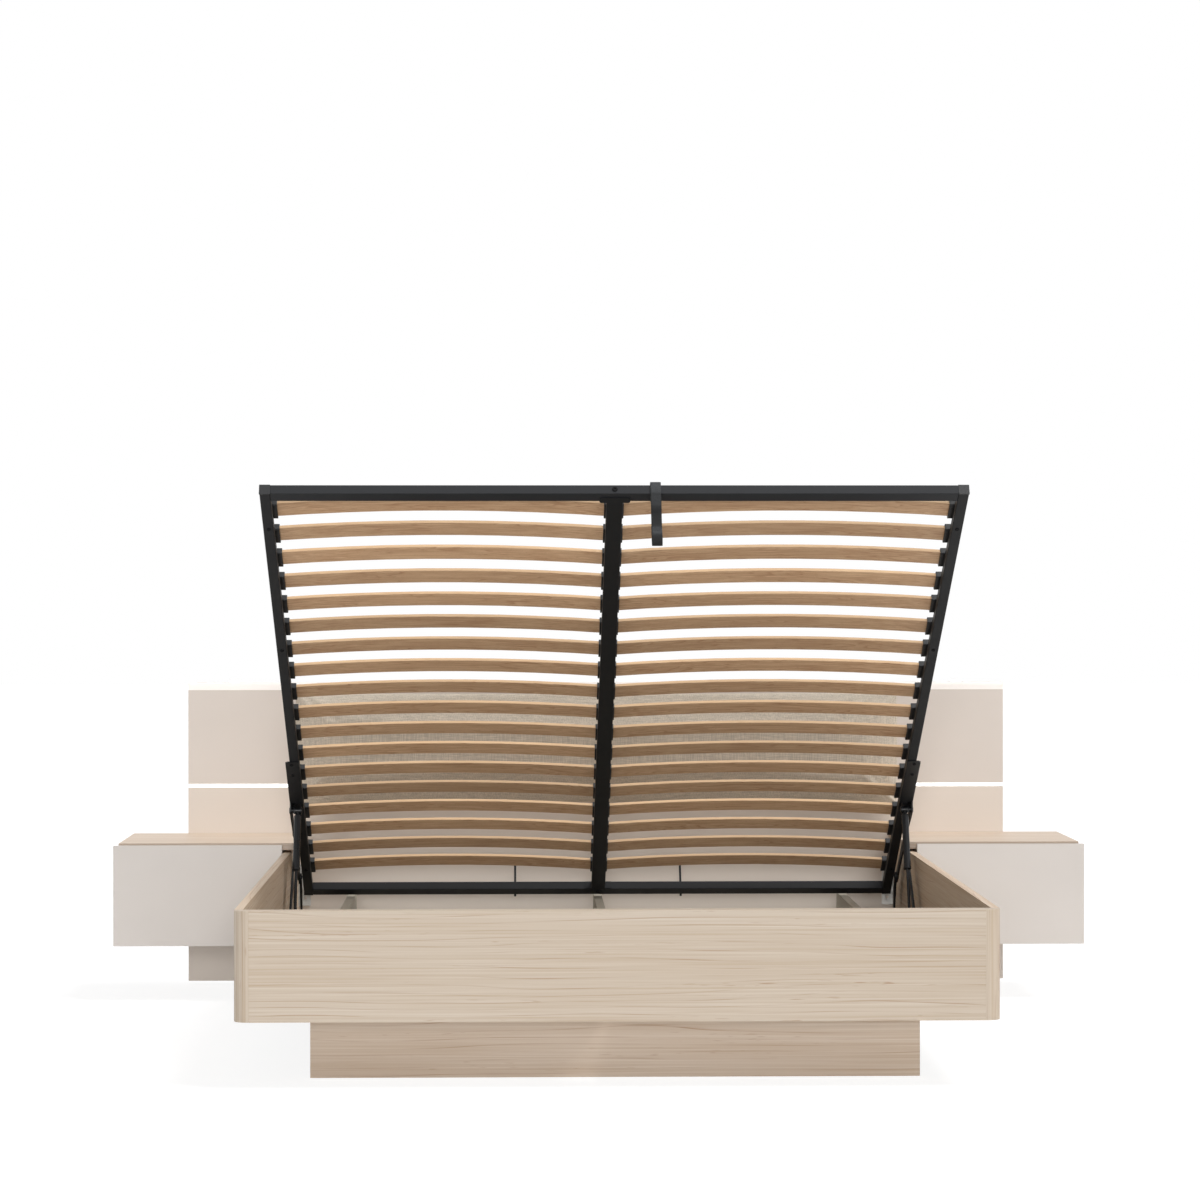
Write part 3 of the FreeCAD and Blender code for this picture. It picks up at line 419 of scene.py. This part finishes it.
def powder_coat(name, rgb, roughness=0.55):
    """Powder-coated steel: an even film with the soft orange peel of baked powder."""
    material, tree, shader = new_material(name, roughness, Specular_IOR_Level=0.26)
    place = in_millimetres(tree)
    peel = grained(tree, place, 1.8, 1.8, detail=2)
    cloud = grained(tree, place, 90, 60, offset=3, detail=2)
    base = blended(tree, cloud, rgba([c * 0.86 for c in rgb]), rgba([c * 1.14 for c in rgb]))
    tree.links.new(base, shader.inputs["Base Color"])
    worn = add_node(tree, "Math", {0: cloud, 1: 0.16, 2: roughness - 0.08},
                    operation="MULTIPLY_ADD")
    tree.links.new(worn, shader.inputs["Roughness"])
    set_bump(tree, shader, peel, 0.00008)
    return material


def moulded_plastic(name, rgb):
    """Moulded polypropylene: fine spark-eroded texture, drawn at 1.2 mm, and a soft shine."""
    material, tree, shader = new_material(name, roughness=0.42)
    place = in_millimetres(tree)
    texture = grained(tree, place, 1.2, 1.2, detail=1)
    base = blended(tree, texture, rgba([c * 0.85 for c in rgb]), rgba([c * 1.15 for c in rgb]))
    tree.links.new(base, shader.inputs["Base Color"])
    set_bump(tree, shader, texture, 0.00008)
    return material


def zinc_plate(name, rgb):
    """Zinc-plated pressed steel: pale metal, clouded by its crystals and passivation."""
    material, tree, shader = new_material(name, roughness=0.38, Metallic=1.0)
    place = in_millimetres(tree)
    spangle = grained(tree, place, 9, 7, detail=3)
    base = blended(tree, spangle, rgba([c * 0.8 for c in rgb]), rgba(rgb))
    tree.links.new(base, shader.inputs["Base Color"])
    rough = add_node(tree, "Math", {0: spangle, 1: 0.25, 2: 0.26}, operation="MULTIPLY_ADD")
    tree.links.new(rough, shader.inputs["Roughness"])
    return material


def strap_webbing(name, rgb):
    """Woven polypropylene webbing: fine ribs across a dark band, with a dull yarn shine,
    and a speckled painted highlight that makes it paler where it is turned up."""
    material, tree, shader = new_material(name, roughness=0.55, Sheen_Weight=0.05,
                                          Specular_IOR_Level=0.35)
    place = in_millimetres(tree)
    rib = 1.9
    cord = add_node(tree, "TexWave", {
        "Vector": place, "Scale": WAVE_PER_MM / rib, "Distortion": 0.8, "Detail": 1.0,
    }, output="Fac", bands_direction="X")
    speckle = grained(tree, place, 2.0, 2.0, detail=2)
    tone = sum_of(tree, product_of(tree, cord, 0.4), product_of(tree, speckle, 0.6))
    tone = ramped(tree, tone, (0.3, 0.0), (0.7, 1.0))
    base = blended(tree, tone, rgba([c * 0.4 for c in rgb]), rgba([c * 2.2 for c in rgb]))
    # Painted highlight: faces that turn up are painted paler, as if lit from above.
    normal = add_node(tree, "NewGeometry", output="Normal")
    facing_up = add_node(tree, "SeparateXYZ", {0: normal}, output="Z")
    painted_highlight = ramped(tree, facing_up, (0.02, 0.0), (0.5, 0.8))
    painted_highlight = product_of(tree, painted_highlight, sum_of(tree, product_of(tree, speckle, 1.2), -0.1))
    base = blended(tree, painted_highlight, base, rgba([c * 16 for c in rgb]))
    tree.links.new(base, shader.inputs["Base Color"])
    set_bump(tree, shader, tone, 0.0004)
    return material


def lit_diffuser(name):
    """Opal acrylic strip lit from behind: an even cool white, slightly uneven by its diodes."""
    material, tree, shader = new_material(name, roughness=0.35, Emission_Strength=2.6)
    place = in_millimetres(tree)
    spots = grained(tree, place, 24, 24, detail=0)
    glow = blended(tree, spots, rgba(to_linear("#F2FEFF")), rgba(to_linear("#FFFFFF")))
    tree.links.new(glow, shader.inputs["Base Color"])
    tree.links.new(glow, shader.inputs["Emission Color"])
    return material


# Mesh building

def finish_node(name, material, edge=0.0, segments=2):
    """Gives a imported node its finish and, where edge is given, rounded edges."""
    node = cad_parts[name]
    for slot in node.material_slots:
        slot.link = "OBJECT"
        slot.material = material
    if edge:
        weld = node.modifiers.new("Joined faces", "WELD")
        weld.merge_threshold = 0.00001
        bevel = node.modifiers.new("Rounded edges", "BEVEL")
        bevel.width = edge
        bevel.segments = segments
        bevel.limit_method = "ANGLE"
        bevel.angle_limit = math.radians(50)
        even = node.modifiers.new("Even shading", "WEIGHTED_NORMAL")
        even.weight = 100
    return node


def finish_pair(name, material, edge=0.0):
    for side in SIDES:
        finish_node(f"{name}_{side}", material, edge)


def new_piece(name, mesh, material, body):
    """Puts a finished bmesh into the scene as a piece that rides on a body."""
    data = bpy.data.meshes.new(name)
    bmesh.ops.recalc_face_normals(mesh, faces=mesh.faces)
    mesh.to_mesh(data)
    mesh.free()
    data.materials.append(material)
    for face in data.polygons:
        face.use_smooth = True
    piece = bpy.data.objects.new(name, data)
    bpy.context.scene.collection.objects.link(piece)
    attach(piece, body)
    return piece


def turned(mesh, profile, place, axis, segments=24):
    """Adds a turned form to a bmesh. profile is (radius, height, six_sided) from its
    centre outwards, and height runs along axis."""
    turn = Vector(axis).to_track_quat("Z", "Y").to_matrix()
    rings = []
    for radius, height, six_sided in profile:
        if radius == 0:
            rings.append([mesh.verts.new(turn @ Vector((0, 0, height)) + place)])
            continue
        ring = []
        for i in range(segments):
            angle = 2 * math.pi * i / segments
            flat = angle % (math.pi / 3) - math.pi / 6
            reach = radius * math.cos(math.pi / 6) / math.cos(flat) if six_sided else radius
            point = Vector((reach * math.cos(angle), reach * math.sin(angle), height))
            ring.append(mesh.verts.new(turn @ point + place))
        rings.append(ring)
    for inner, outer in zip(rings, rings[1:]):
        for i in range(segments):
            j = (i + 1) % segments
            corners = [inner[0], outer[i], outer[j]] if len(inner) == 1 else \
                [inner[i], outer[i], outer[j], inner[j]]
            mesh.faces.new(corners)


def slab_on_frame(mesh, low, high, edge):
    """Adds a flat plate with eased edges between two (x, station, height) corners."""
    added = bmesh.ops.create_cube(mesh, size=1.0)["verts"]
    for vertex in added:
        share = [c + 0.5 for c in vertex.co]
        vertex.co = on_frame(*[a + (b - a) * s for a, b, s in zip(low, high, share)])
    edges = {e for vertex in added for e in vertex.link_edges}
    bmesh.ops.bevel(mesh, geom=list(edges), offset=edge, segments=2, affect="EDGES")


def screw_profile(radius, height):
    """Pan head with a six-sided socket, from the socket's floor out to the seat."""
    return [
        (0, height * 0.35, False),
        (radius * 0.42, height * 0.35, True),
        (radius * 0.46, height, True),
        (radius * 0.70, height, False),
        (radius * 0.92, height * 0.78, False),
        (radius, height * 0.4, False),
        (radius, 0, False),
    ]


def swept(mesh, points, section, closed=False):
    """Sweeps a section, (x, out) pairs, along points in a plane across X. points are
    (x shift, y, z), and out is measured square to the path."""
    rings = []
    count = len(points)
    for i, (shift, y, z) in enumerate(points):
        before = points[(i - 1) % count] if closed or i else points[0]
        after = points[(i + 1) % count] if closed or i < count - 1 else points[-1]
        along = Vector((0, after[1] - before[1], after[2] - before[2])).normalized()
        out = Vector((0, along.z, -along.y))
        rings.append([mesh.verts.new(Vector((shift + x, y, z)) + out * o) for x, o in section])
    size_of = len(section)
    pairs = list(zip(rings, rings[1:]))
    if closed:
        pairs.append((rings[-1], rings[0]))
    for a, b in pairs:
        for i in range(size_of):
            j = (i + 1) % size_of
            mesh.faces.new([a[i], a[j], b[j], b[i]])
    if not closed:
        mesh.faces.new(rings[0][::-1])
        mesh.faces.new(rings[-1])


def smooth_path(points, steps):
    """Points along a Catmull-Rom curve through the given ones."""
    out = []
    for i in range(len(points) - 1):
        a = Vector(points[max(i - 1, 0)])
        b, c = Vector(points[i]), Vector(points[i + 1])
        d = Vector(points[min(i + 2, len(points) - 1)])
        for k in range(steps):
            t = k / steps
            out.append(0.5 * (2 * b + (c - a) * t + (2 * a - 5 * b + 4 * c - d) * t ** 2
                              + (3 * b - a - 3 * c + d) * t ** 3))
    return out + [Vector(points[-1])]


# Soft parts

def pad_form(low, high, draw_in, edge):
    """Closed form of a long pad, a little smaller than its room: flat back, crowned
    front, corners and sides drawn in."""
    mesh = bmesh.new()
    bmesh.ops.create_cube(mesh, size=1.0)
    bmesh.ops.subdivide_edges(mesh, edges=mesh.edges, cuts=19, use_grid_fill=True)
    centre, room = (low + high) / 2, high - low
    for vertex in mesh.verts:
        u, v, w = (2 * c for c in vertex.co)
        fullness = (1 - abs(u) ** 14) * (1 - abs(w) ** 6)
        thickness = edge + (room.y - edge) * fullness
        drawn = 1 - draw_in * (1 - abs(u) ** 3) / (room.z / 2)
        corner = 1 - 0.004 * abs(w) ** 2
        vertex.co = (
            centre.x + u * room.x / 2 * corner,
            high.y - thickness * (0.5 - v / 2),
            centre.z + w * room.z / 2 * drawn,
        )
    return mesh


def simulate_pad(piece, sizes, back):
    """Swells the pad like stuffed cloth while its back stays flat against the board."""
    remesh = piece.modifiers.new("Even mesh", "REMESH")
    remesh.mode = "VOXEL"
    remesh.voxel_size = sizes.pad_voxel
    bpy.context.view_layer.objects.active = piece
    bpy.ops.object.modifier_apply(modifier=remesh.name)
    start = [vertex.co.copy() for vertex in piece.data.vertices]
    held = piece.vertex_groups.new(name="held")
    near_back = sizes.pad_voxel
    held.add([i for i, co in enumerate(start) if co.y > back - near_back], 1.0, "REPLACE")
    cloth = piece.modifiers.new("Cloth", "CLOTH")
    settings = cloth.settings
    settings.quality = 5
    settings.mass = 0.3
    settings.tension_stiffness = 12
    settings.compression_stiffness = 12
    settings.shear_stiffness = 5
    settings.bending_stiffness = 0.5
    settings.use_pressure = True
    settings.uniform_pressure_force = sizes.pad_pressure
    settings.effector_weights.gravity = 0
    settings.vertex_group_mass = held.name
    scene = bpy.context.scene
    frames = 20
    cloth.point_cache.frame_start = 1
    cloth.point_cache.frame_end = frames
    for number in range(1, frames + 1):
        scene.frame_set(number)
    swollen = piece.evaluated_get(bpy.context.evaluated_depsgraph_get()).data
    ends = [vertex.co.copy() for vertex in swollen.vertices]
    piece.modifiers.remove(cloth)
    for vertex, before, after in zip(piece.data.vertices, start, ends):
        move = after - before
        if move.length > sizes.pad_cap:
            move = move.normalized() * sizes.pad_cap
        vertex.co = before + move
        vertex.co.y = min(vertex.co.y, back)
    scene.frame_set(1)


# Operators

class BED_OT_ash_boards(bpy.types.Operator):
    """Printed ash on the foot panel, corner posts, rails, plinth and nightstand tops"""
    bl_idname = "bed.ash_boards"
    bl_label = "Ash boards"

    def execute(self, context):
        sizes, colours = context.scene.bed_sizes, context.scene.bed_colours
        across = ash_laminate("ash_laminate_across", GRAIN_ACROSS, colours)
        # The rails, plinth and nightstand tops get lighter copies of the same print, painted
        # light; the plinth's copy is lightened against the shade of its recess.
        along = ash_laminate("ash_laminate_along", GRAIN_ALONG, colours, shift=11.0,
                             painted_light_tint=(1.18, 1.12, 1.06))
        upright = ash_laminate("ash_laminate_upright", GRAIN_UPRIGHT, colours, shift=23.0)
        plinth = ash_laminate("ash_laminate_plinth", GRAIN_ACROSS, colours, shift=37.0,
                              painted_light_tint=(1.15, 1.10, 1.08))
        # The tops' edges that face the foot get painted shade.
        tops = ash_laminate("ash_laminate_top", GRAIN_ACROSS, colours, shift=31.0,
                            painted_light_tint=(1.17, 1.15, 1.17), foot_edge_unshaded=0.55)
        finish_node("foot_panel", across, sizes.board_edge)
        finish_node("plinth_front", plinth, sizes.board_edge)
        finish_pair("nightstand_top", tops, sizes.board_edge)
        finish_pair("side_rail", along, sizes.board_edge)
        finish_node("corner_posts", upright, sizes.board_edge)
        return {"FINISHED"}


class BED_OT_inner_boards(bpy.types.Operator):
    """Plain boards of the plinth and the storage floors"""
    bl_idname = "bed.inner_boards"
    bl_label = "Inner boards"

    def execute(self, context):
        sizes, colours = context.scene.bed_sizes, context.scene.bed_colours
        board = plain_board("grey_melamine_board", colours.inside)
        for name in ("plinth_back", "plinth_board_left", "plinth_board_right",
                     "plinth_board_centre", "storage_floors"):
            finish_node(name, board, sizes.board_edge)
        return {"FINISHED"}


class BED_OT_headboard(bpy.types.Operator):
    """Matt panels of the headboard and the pale moulding along its top"""
    bl_idname = "bed.headboard"
    bl_label = "Headboard"

    def execute(self, context):
        sizes, colours = context.scene.bed_sizes, context.scene.bed_colours
        upper = plain_board("cashmere_melamine_board", colours.cashmere)
        # The lower panel's lighter colour is painted light from the light line.
        lower = plain_board("cashmere_melamine_lower", colours.cashmere_glow_lit)
        trim = plain_board("cashmere_lacquered_trim", colours.trim, roughness=0.32)
        finish_node("headboard_upper", upper, sizes.board_edge)
        finish_node("headboard_lower", lower, sizes.board_edge)
        finish_node("headboard_trim", trim, sizes.board_edge)
        return {"FINISHED"}


class BED_OT_light_line(bpy.types.Operator):
    """Aluminium channel and lit diffuser between the headboard's panels"""
    bl_idname = "bed.light_line"
    bl_label = "Light line"

    def execute(self, context):
        colours = context.scene.bed_colours
        finish_node("light_profile", zinc_plate("anodised_aluminium", colours.zinc))
        finish_node("light_diffuser", lit_diffuser("opal_acrylic_lit"))
        return {"FINISHED"}


class BED_OT_back_rest(bpy.types.Operator):
    """Stuffed back rest with a woven cover"""
    bl_idname = "bed.back_rest"
    bl_label = "Back rest"

    def execute(self, context):
        sizes, colours = context.scene.bed_sizes, context.scene.bed_colours
        low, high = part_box("headboard_cushion")
        start = Vector((0, sizes.pad_start, 0)) + Vector((0.004, 0, 0.004))
        inner_high = high - Vector((start.x, 0, start.z))
        fabric = woven_cover("woven_upholstery", colours)
        mesh = pad_form(low + start, inner_high, draw_in=0.005, edge=0.012)
        pad = new_piece("back_rest", mesh, fabric, "root")
        simulate_pad(pad, sizes, high.y)
        smooth = pad.modifiers.new("Smooth cover", "SUBSURF")
        smooth.levels = smooth.render_levels = 1
        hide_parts("headboard_cushion")
        return {"FINISHED"}


class BED_OT_nightstands(bpy.types.Operator):
    """Nightstand shells, their drawers and runners"""
    bl_idname = "bed.nightstands"
    bl_label = "Nightstands"

    def execute(self, context):
        sizes, colours = context.scene.bed_sizes, context.scene.bed_colours
        shell = plain_board("cashmere_melamine_shell", colours.cashmere)
        front = plain_board("cashmere_matt_front", colours.drawer)
        wrap = plain_board("foil_wrapped_drawer", colours.cashmere, roughness=0.45)
        zinc = zinc_plate("zinc_plated_runner", colours.zinc)
        for name in ("nightstand_inner_sides", "nightstand_outer_sides",
                     "nightstand_bottoms", "nightstand_backs"):
            finish_node(name, shell, sizes.board_edge)
        finish_pair("drawer_front", front, sizes.board_edge)
        finish_pair("drawer_tray", wrap, sizes.plate_edge)
        finish_pair("drawer_bottom", wrap)
        finish_node("nightstand_runners", zinc, sizes.plate_edge)
        finish_pair("drawer_runners", zinc, sizes.plate_edge)
        return {"FINISHED"}


class BED_OT_steel_frame(bpy.types.Operator):
    """Powder-coated tubes, end caps and beam plates of the lift frame, with its screws"""
    bl_idname = "bed.steel_frame"
    bl_label = "Steel frame"

    def execute(self, context):
        sizes, colours = context.scene.bed_sizes, context.scene.bed_colours
        steel = powder_coat("black_powder_coat", colours.black_steel)
        plastic = moulded_plastic("black_moulded_cap", colours.black_plastic)
        finish_pair("side_tube", steel, sizes.tube_edge)
        for name in ("head_tube", "centre_beam"):
            finish_node(name, steel, sizes.tube_edge)
        # Painted light: the foot tube gets a copy of the same coat twice as light, for the light
        # that falls on it and not on the tubes inside the box.
        painted_lit_coat = powder_coat("black_powder_coat_painted_lit", [c * 2.0 for c in colours.black_steel])
        finish_node("foot_tube", painted_lit_coat, sizes.tube_edge)
        finish_node("beam_plates", steel, sizes.plate_edge)
        finish_node("end_caps", plastic, sizes.plastic_edge)
        finish_node("mattress_stop", steel)
        mesh = bmesh.new()
        head = screw_profile(sizes.screw_radius, sizes.screw_height)
        down = -FRAME_UP
        for side in (-1, 1):
            for station in TUBE_SCREWS:
                turned(mesh, head, on_frame(side * TUBE_SCREW_X, station, 0.0), down)
            for station in FLANGE_SCREWS:
                seat = on_frame(side * FLANGE_SCREW_X, station, FLANGE_UNDERSIDE)
                turned(mesh, head, seat, down)
        big = screw_profile(sizes.screw_radius * 1.3, sizes.screw_height * 1.3)
        turned(mesh, big, on_frame(0, FRAME_LENGTH, TUBE_HEIGHT / 2), TO_FOOT)
        turned(mesh, big, on_frame(0, 0.016, 0.0), down)
        black = powder_coat("black_oxide_screw", [c * 0.35 for c in colours.black_steel], 0.8)
        new_piece("frame_screws", mesh, black, "lift_frame")
        return {"FINISHED"}


class BED_OT_slats(bpy.types.Operator):
    """Crowned beech slats in their plastic holders"""
    bl_idname = "bed.slats"
    bl_label = "Slats and holders"

    def execute(self, context):
        sizes, colours = context.scene.bed_sizes, context.scene.bed_colours
        finish_pair("slats", bent_beech("lacquered_beech_veneer", colours), sizes.slat_edge)
        holder = moulded_plastic("black_slat_holder", colours.black_plastic)
        finish_node("side_slat_holders", holder, sizes.plastic_edge)
        finish_node("centre_slat_holders", holder, sizes.plastic_edge)
        return {"FINISHED"}


class BED_OT_lift_linkage(bpy.types.Operator):
    """Arms, bars and gas struts that carry the lift frame, with spacers at the struts"""
    bl_idname = "bed.lift_linkage"
    bl_label = "Lift linkage"

    def execute(self, context):
        sizes, colours = context.scene.bed_sizes, context.scene.bed_colours
        steel = powder_coat("black_powder_coat_linkage", colours.black_steel, roughness=0.4)
        for name in ("base_bar", "front_arm", "rear_arm", "upper_bar"):
            finish_pair(name, steel)
        finish_pair("gas_cylinder", powder_coat("black_strut_enamel", colours.black_steel, 0.3))
        mesh = bmesh.new()
        near_head, near_foot = FLANGE_TONGUE
        for side in (-1, 1):
            turned(mesh, BUSH_PROFILE, on_frame(side * STRUT_EYE_FACE, *STRUT_PIN), (side, 0, 0))
        # The bevelled tongues come last, because faces made after a bevel are stored in an
        # order that changes from run to run
        for side in (-1, 1):
            slab_on_frame(mesh, (side * STRUT_EYE_FACE, near_head, FLANGE_UNDERSIDE),
                          (side * UPPER_BAR_FACE, near_foot, 0), sizes.plate_edge)
        black = moulded_plastic("black_nylon_bush", colours.black_plastic)
        new_piece("strut_spacers", mesh, black, "lift_frame")
        rod = [c * 2.0 for c in colours.black_steel]
        finish_pair("gas_rod", powder_coat("nitrided_strut_rod", rod, 0.25))
        return {"FINISHED"}


class BED_OT_pull_strap(bpy.types.Operator):
    """Webbing strap round the foot tube, its free end hanging and turned under"""
    bl_idname = "bed.pull_strap"
    bl_label = "Pull strap"

    def execute(self, context):
        sizes, colours = context.scene.bed_sizes, context.scene.bed_colours
        low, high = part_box("pull_strap")
        middle = (low.x + high.x) / 2
        half, thick = sizes.strap_width / 2, sizes.strap_thickness
        off = STRAP_CLEARANCE + thick / 2
        near, far = FRAME_LENGTH + off, FRAME_LENGTH - TUBE_WIDTH - off
        loose_top = TUBE_HEIGHT + sizes.strap_slack + off
        wrap = [on_frame(0, station, height) for station, height in (
            (near - 0.012, -off), (far + 0.004, -off), (far, 0.003), (far, TUBE_HEIGHT - 0.003),
            (far + 0.004, loose_top - 0.001), (near - 0.005, loose_top),
            (near, TUBE_HEIGHT - 0.001), (near + 0.001, 0.004))]
        edge = on_frame(0, near, 0.0)
        drop = sizes.strap_drop
        tail = [edge + Vector((0, out * drop, -down * drop)) for out, down in STRAP_HANG]
        path = []
        for point in smooth_path(wrap + tail, 8):
            fallen = min(1.0, max(0.0, (edge.z - point.z) / drop))
            path.append((middle + sizes.strap_lean * fallen, point.y, point.z))
        rows = 9
        section = []
        for i in range(rows):
            u = -1 + 2 * i / (rows - 1)
            section.append((half * u, thick / 2 * (0.55 if abs(u) == 1 else 1.0)))
        section += [(x, -o) for x, o in reversed(section)]
        mesh = bmesh.new()
        swept(mesh, path, section)
        black = strap_webbing("black_webbing", colours.webbing)
        strap = new_piece("pull_strap_webbing", mesh, black, "lift_frame")
        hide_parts("pull_strap")
        return {"FINISHED"}


class BED_OT_brackets(bpy.types.Operator):
    """Plated brackets on the wall side and in the rails' head corners"""
    bl_idname = "bed.brackets"
    bl_label = "Brackets"

    def execute(self, context):
        sizes, colours = context.scene.bed_sizes, context.scene.bed_colours
        zinc = zinc_plate("zinc_plated_bracket", colours.zinc)
        finish_node("wall_brackets", zinc, sizes.plate_edge)
        finish_node("corner_brackets", zinc)
        return {"FINISHED"}


class BED_OT_studio(bpy.types.Operator):
    """Pale floor, soft light and the camera at the photograph's place"""
    bl_idname = "bed.studio"
    bl_label = "Studio"

    def execute(self, context):
        scene = context.scene
        self.add_floor(scene)
        self.add_world(scene)
        self.add_lights(scene)
        self.add_camera(scene)
        scene.view_settings.view_transform = "Standard"
        return {"FINISHED"}

    def add_floor(self, scene):
        half = 30.0
        mesh = bmesh.new()
        bmesh.ops.create_grid(mesh, x_segments=1, y_segments=1, size=half)
        data = bpy.data.meshes.new("studio_floor")
        mesh.to_mesh(data)
        mesh.free()
        floor = bpy.data.objects.new("studio_floor", data)
        scene.collection.objects.link(floor)
        material = bpy.data.materials.new("white_studio_floor")
        material.use_nodes = True
        tree = material.node_tree
        tree.nodes.clear()
        bounce = add_node(tree, "BsdfDiffuse", {"Color": rgba((0.84, 0.84, 0.84))})
        shaded = add_node(tree, "BsdfDiffuse", {"Color": rgba((0.30, 0.30, 0.30))})
        white = add_node(tree, "Emission", {"Color": rgba((1, 1, 1)), "Strength": 0.86})
        seen = add_node(tree, "AddShader", {0: shaded, 1: white})
        both = add_node(tree, "MixShader", {0: seen_directly(tree), 1: bounce, 2: seen})
        output = tree.nodes.new("ShaderNodeOutputMaterial")
        tree.links.new(both, output.inputs["Surface"])
        data.materials.append(material)

    def add_world(self, scene):
        world = bpy.data.worlds.new("studio")
        scene.world = world
        world.use_nodes = True
        tree = world.node_tree
        tree.nodes.clear()
        soft = add_node(tree, "Background", {"Color": rgba((1, 1, 1)), "Strength": 0.33})
        white = add_node(tree, "Background", {"Color": rgba((1, 1, 1)), "Strength": 1.0})
        both = add_node(tree, "MixShader", {0: seen_directly(tree), 1: soft, 2: white})
        output = tree.nodes.new("ShaderNodeOutputWorld")
        tree.links.new(both, output.inputs["Surface"])

    def add_lights(self, scene):
        """Two far, wide softboxes: one high on the right, one low in front. Each has a
        turn to the right and a height in degrees, a strength, and its width in degrees."""
        for name, turn, height, strength, width in (
            ("key_light", 70, 60, 2.25, 25),
            ("front_light", -2, 5, 1.3, 20),
        ):
            light = bpy.data.lights.new(name, "SUN")
            light.energy = strength
            light.angle = math.radians(width)
            lamp = bpy.data.objects.new(name, light)
            lamp.rotation_euler = (math.radians(90 - height), 0, math.radians(turn))
            scene.collection.objects.link(lamp)

    def add_camera(self, scene):
        yaw, pitch, roll = 0.0235183, -0.0048554, -0.000486
        place = Vector((-0.2234115, -8.8760833, 1.1103140))
        forward = Vector((math.sin(yaw) * math.cos(pitch), math.cos(yaw) * math.cos(pitch),
                          math.sin(pitch)))
        level = Vector((math.cos(yaw), -math.sin(yaw), 0))
        upward = level.cross(forward)
        right = math.cos(roll) * level + math.sin(roll) * upward
        top = -math.sin(roll) * level + math.cos(roll) * upward
        data = bpy.data.cameras.new("camera")
        data.sensor_width = 36.0
        data.lens = 3574.3969 / 1200 * data.sensor_width
        data.clip_end = 200
        camera = bpy.data.objects.new("camera", data)
        turn = Matrix((right, top, -forward)).transposed().to_4x4()
        camera.matrix_world = Matrix.Translation(place) @ turn
        scene.collection.objects.link(camera)
        scene.camera = camera


def seen_directly(tree):
    """1 for rays that show the background: from the camera, in gloss or through glass."""
    path = tree.nodes.new("ShaderNodeLightPath")
    share = add_node(tree, "Math", {0: path.outputs["Is Camera Ray"],
                                    1: path.outputs["Is Glossy Ray"]}, operation="MAXIMUM")
    return add_node(tree, "Math", {0: share, 1: path.outputs["Is Transmission Ray"]},
                    operation="MAXIMUM")


STEPS = (
    BED_OT_ash_boards, BED_OT_inner_boards, BED_OT_headboard, BED_OT_light_line,
    BED_OT_back_rest, BED_OT_nightstands, BED_OT_steel_frame, BED_OT_slats,
    BED_OT_lift_linkage, BED_OT_pull_strap, BED_OT_brackets, BED_OT_studio,
)


class BED_PT_panel(bpy.types.Panel):
    """Lists the bed's pieces and their settings"""
    bl_idname = "BED_PT_panel"
    bl_label = "Storage bed"
    bl_space_type = "VIEW_3D"
    bl_region_type = "UI"
    bl_category = "Bed"

    def draw(self, context):
        column = self.layout.column()
        for step in STEPS:
            column.operator(step.bl_idname)
        for group in (context.scene.bed_sizes, context.scene.bed_colours):
            for name in type(group).__annotations__:
                column.prop(group, name)


CLASSES = (BedSizes, BedColours, *STEPS, BED_PT_panel)


def register():
    for item in CLASSES:
        bpy.utils.register_class(item)
    bpy.types.Scene.bed_sizes = PointerProperty(type=BedSizes)
    bpy.types.Scene.bed_colours = PointerProperty(type=BedColours)


def unregister():
    del bpy.types.Scene.bed_colours
    del bpy.types.Scene.bed_sizes
    for item in reversed(CLASSES):
        bpy.utils.unregister_class(item)


def main():
    register()
    for step in STEPS:
        group, name = step.bl_idname.split(".")
        getattr(getattr(bpy.ops, group), name)()


if __name__ == "__main__":
    main()
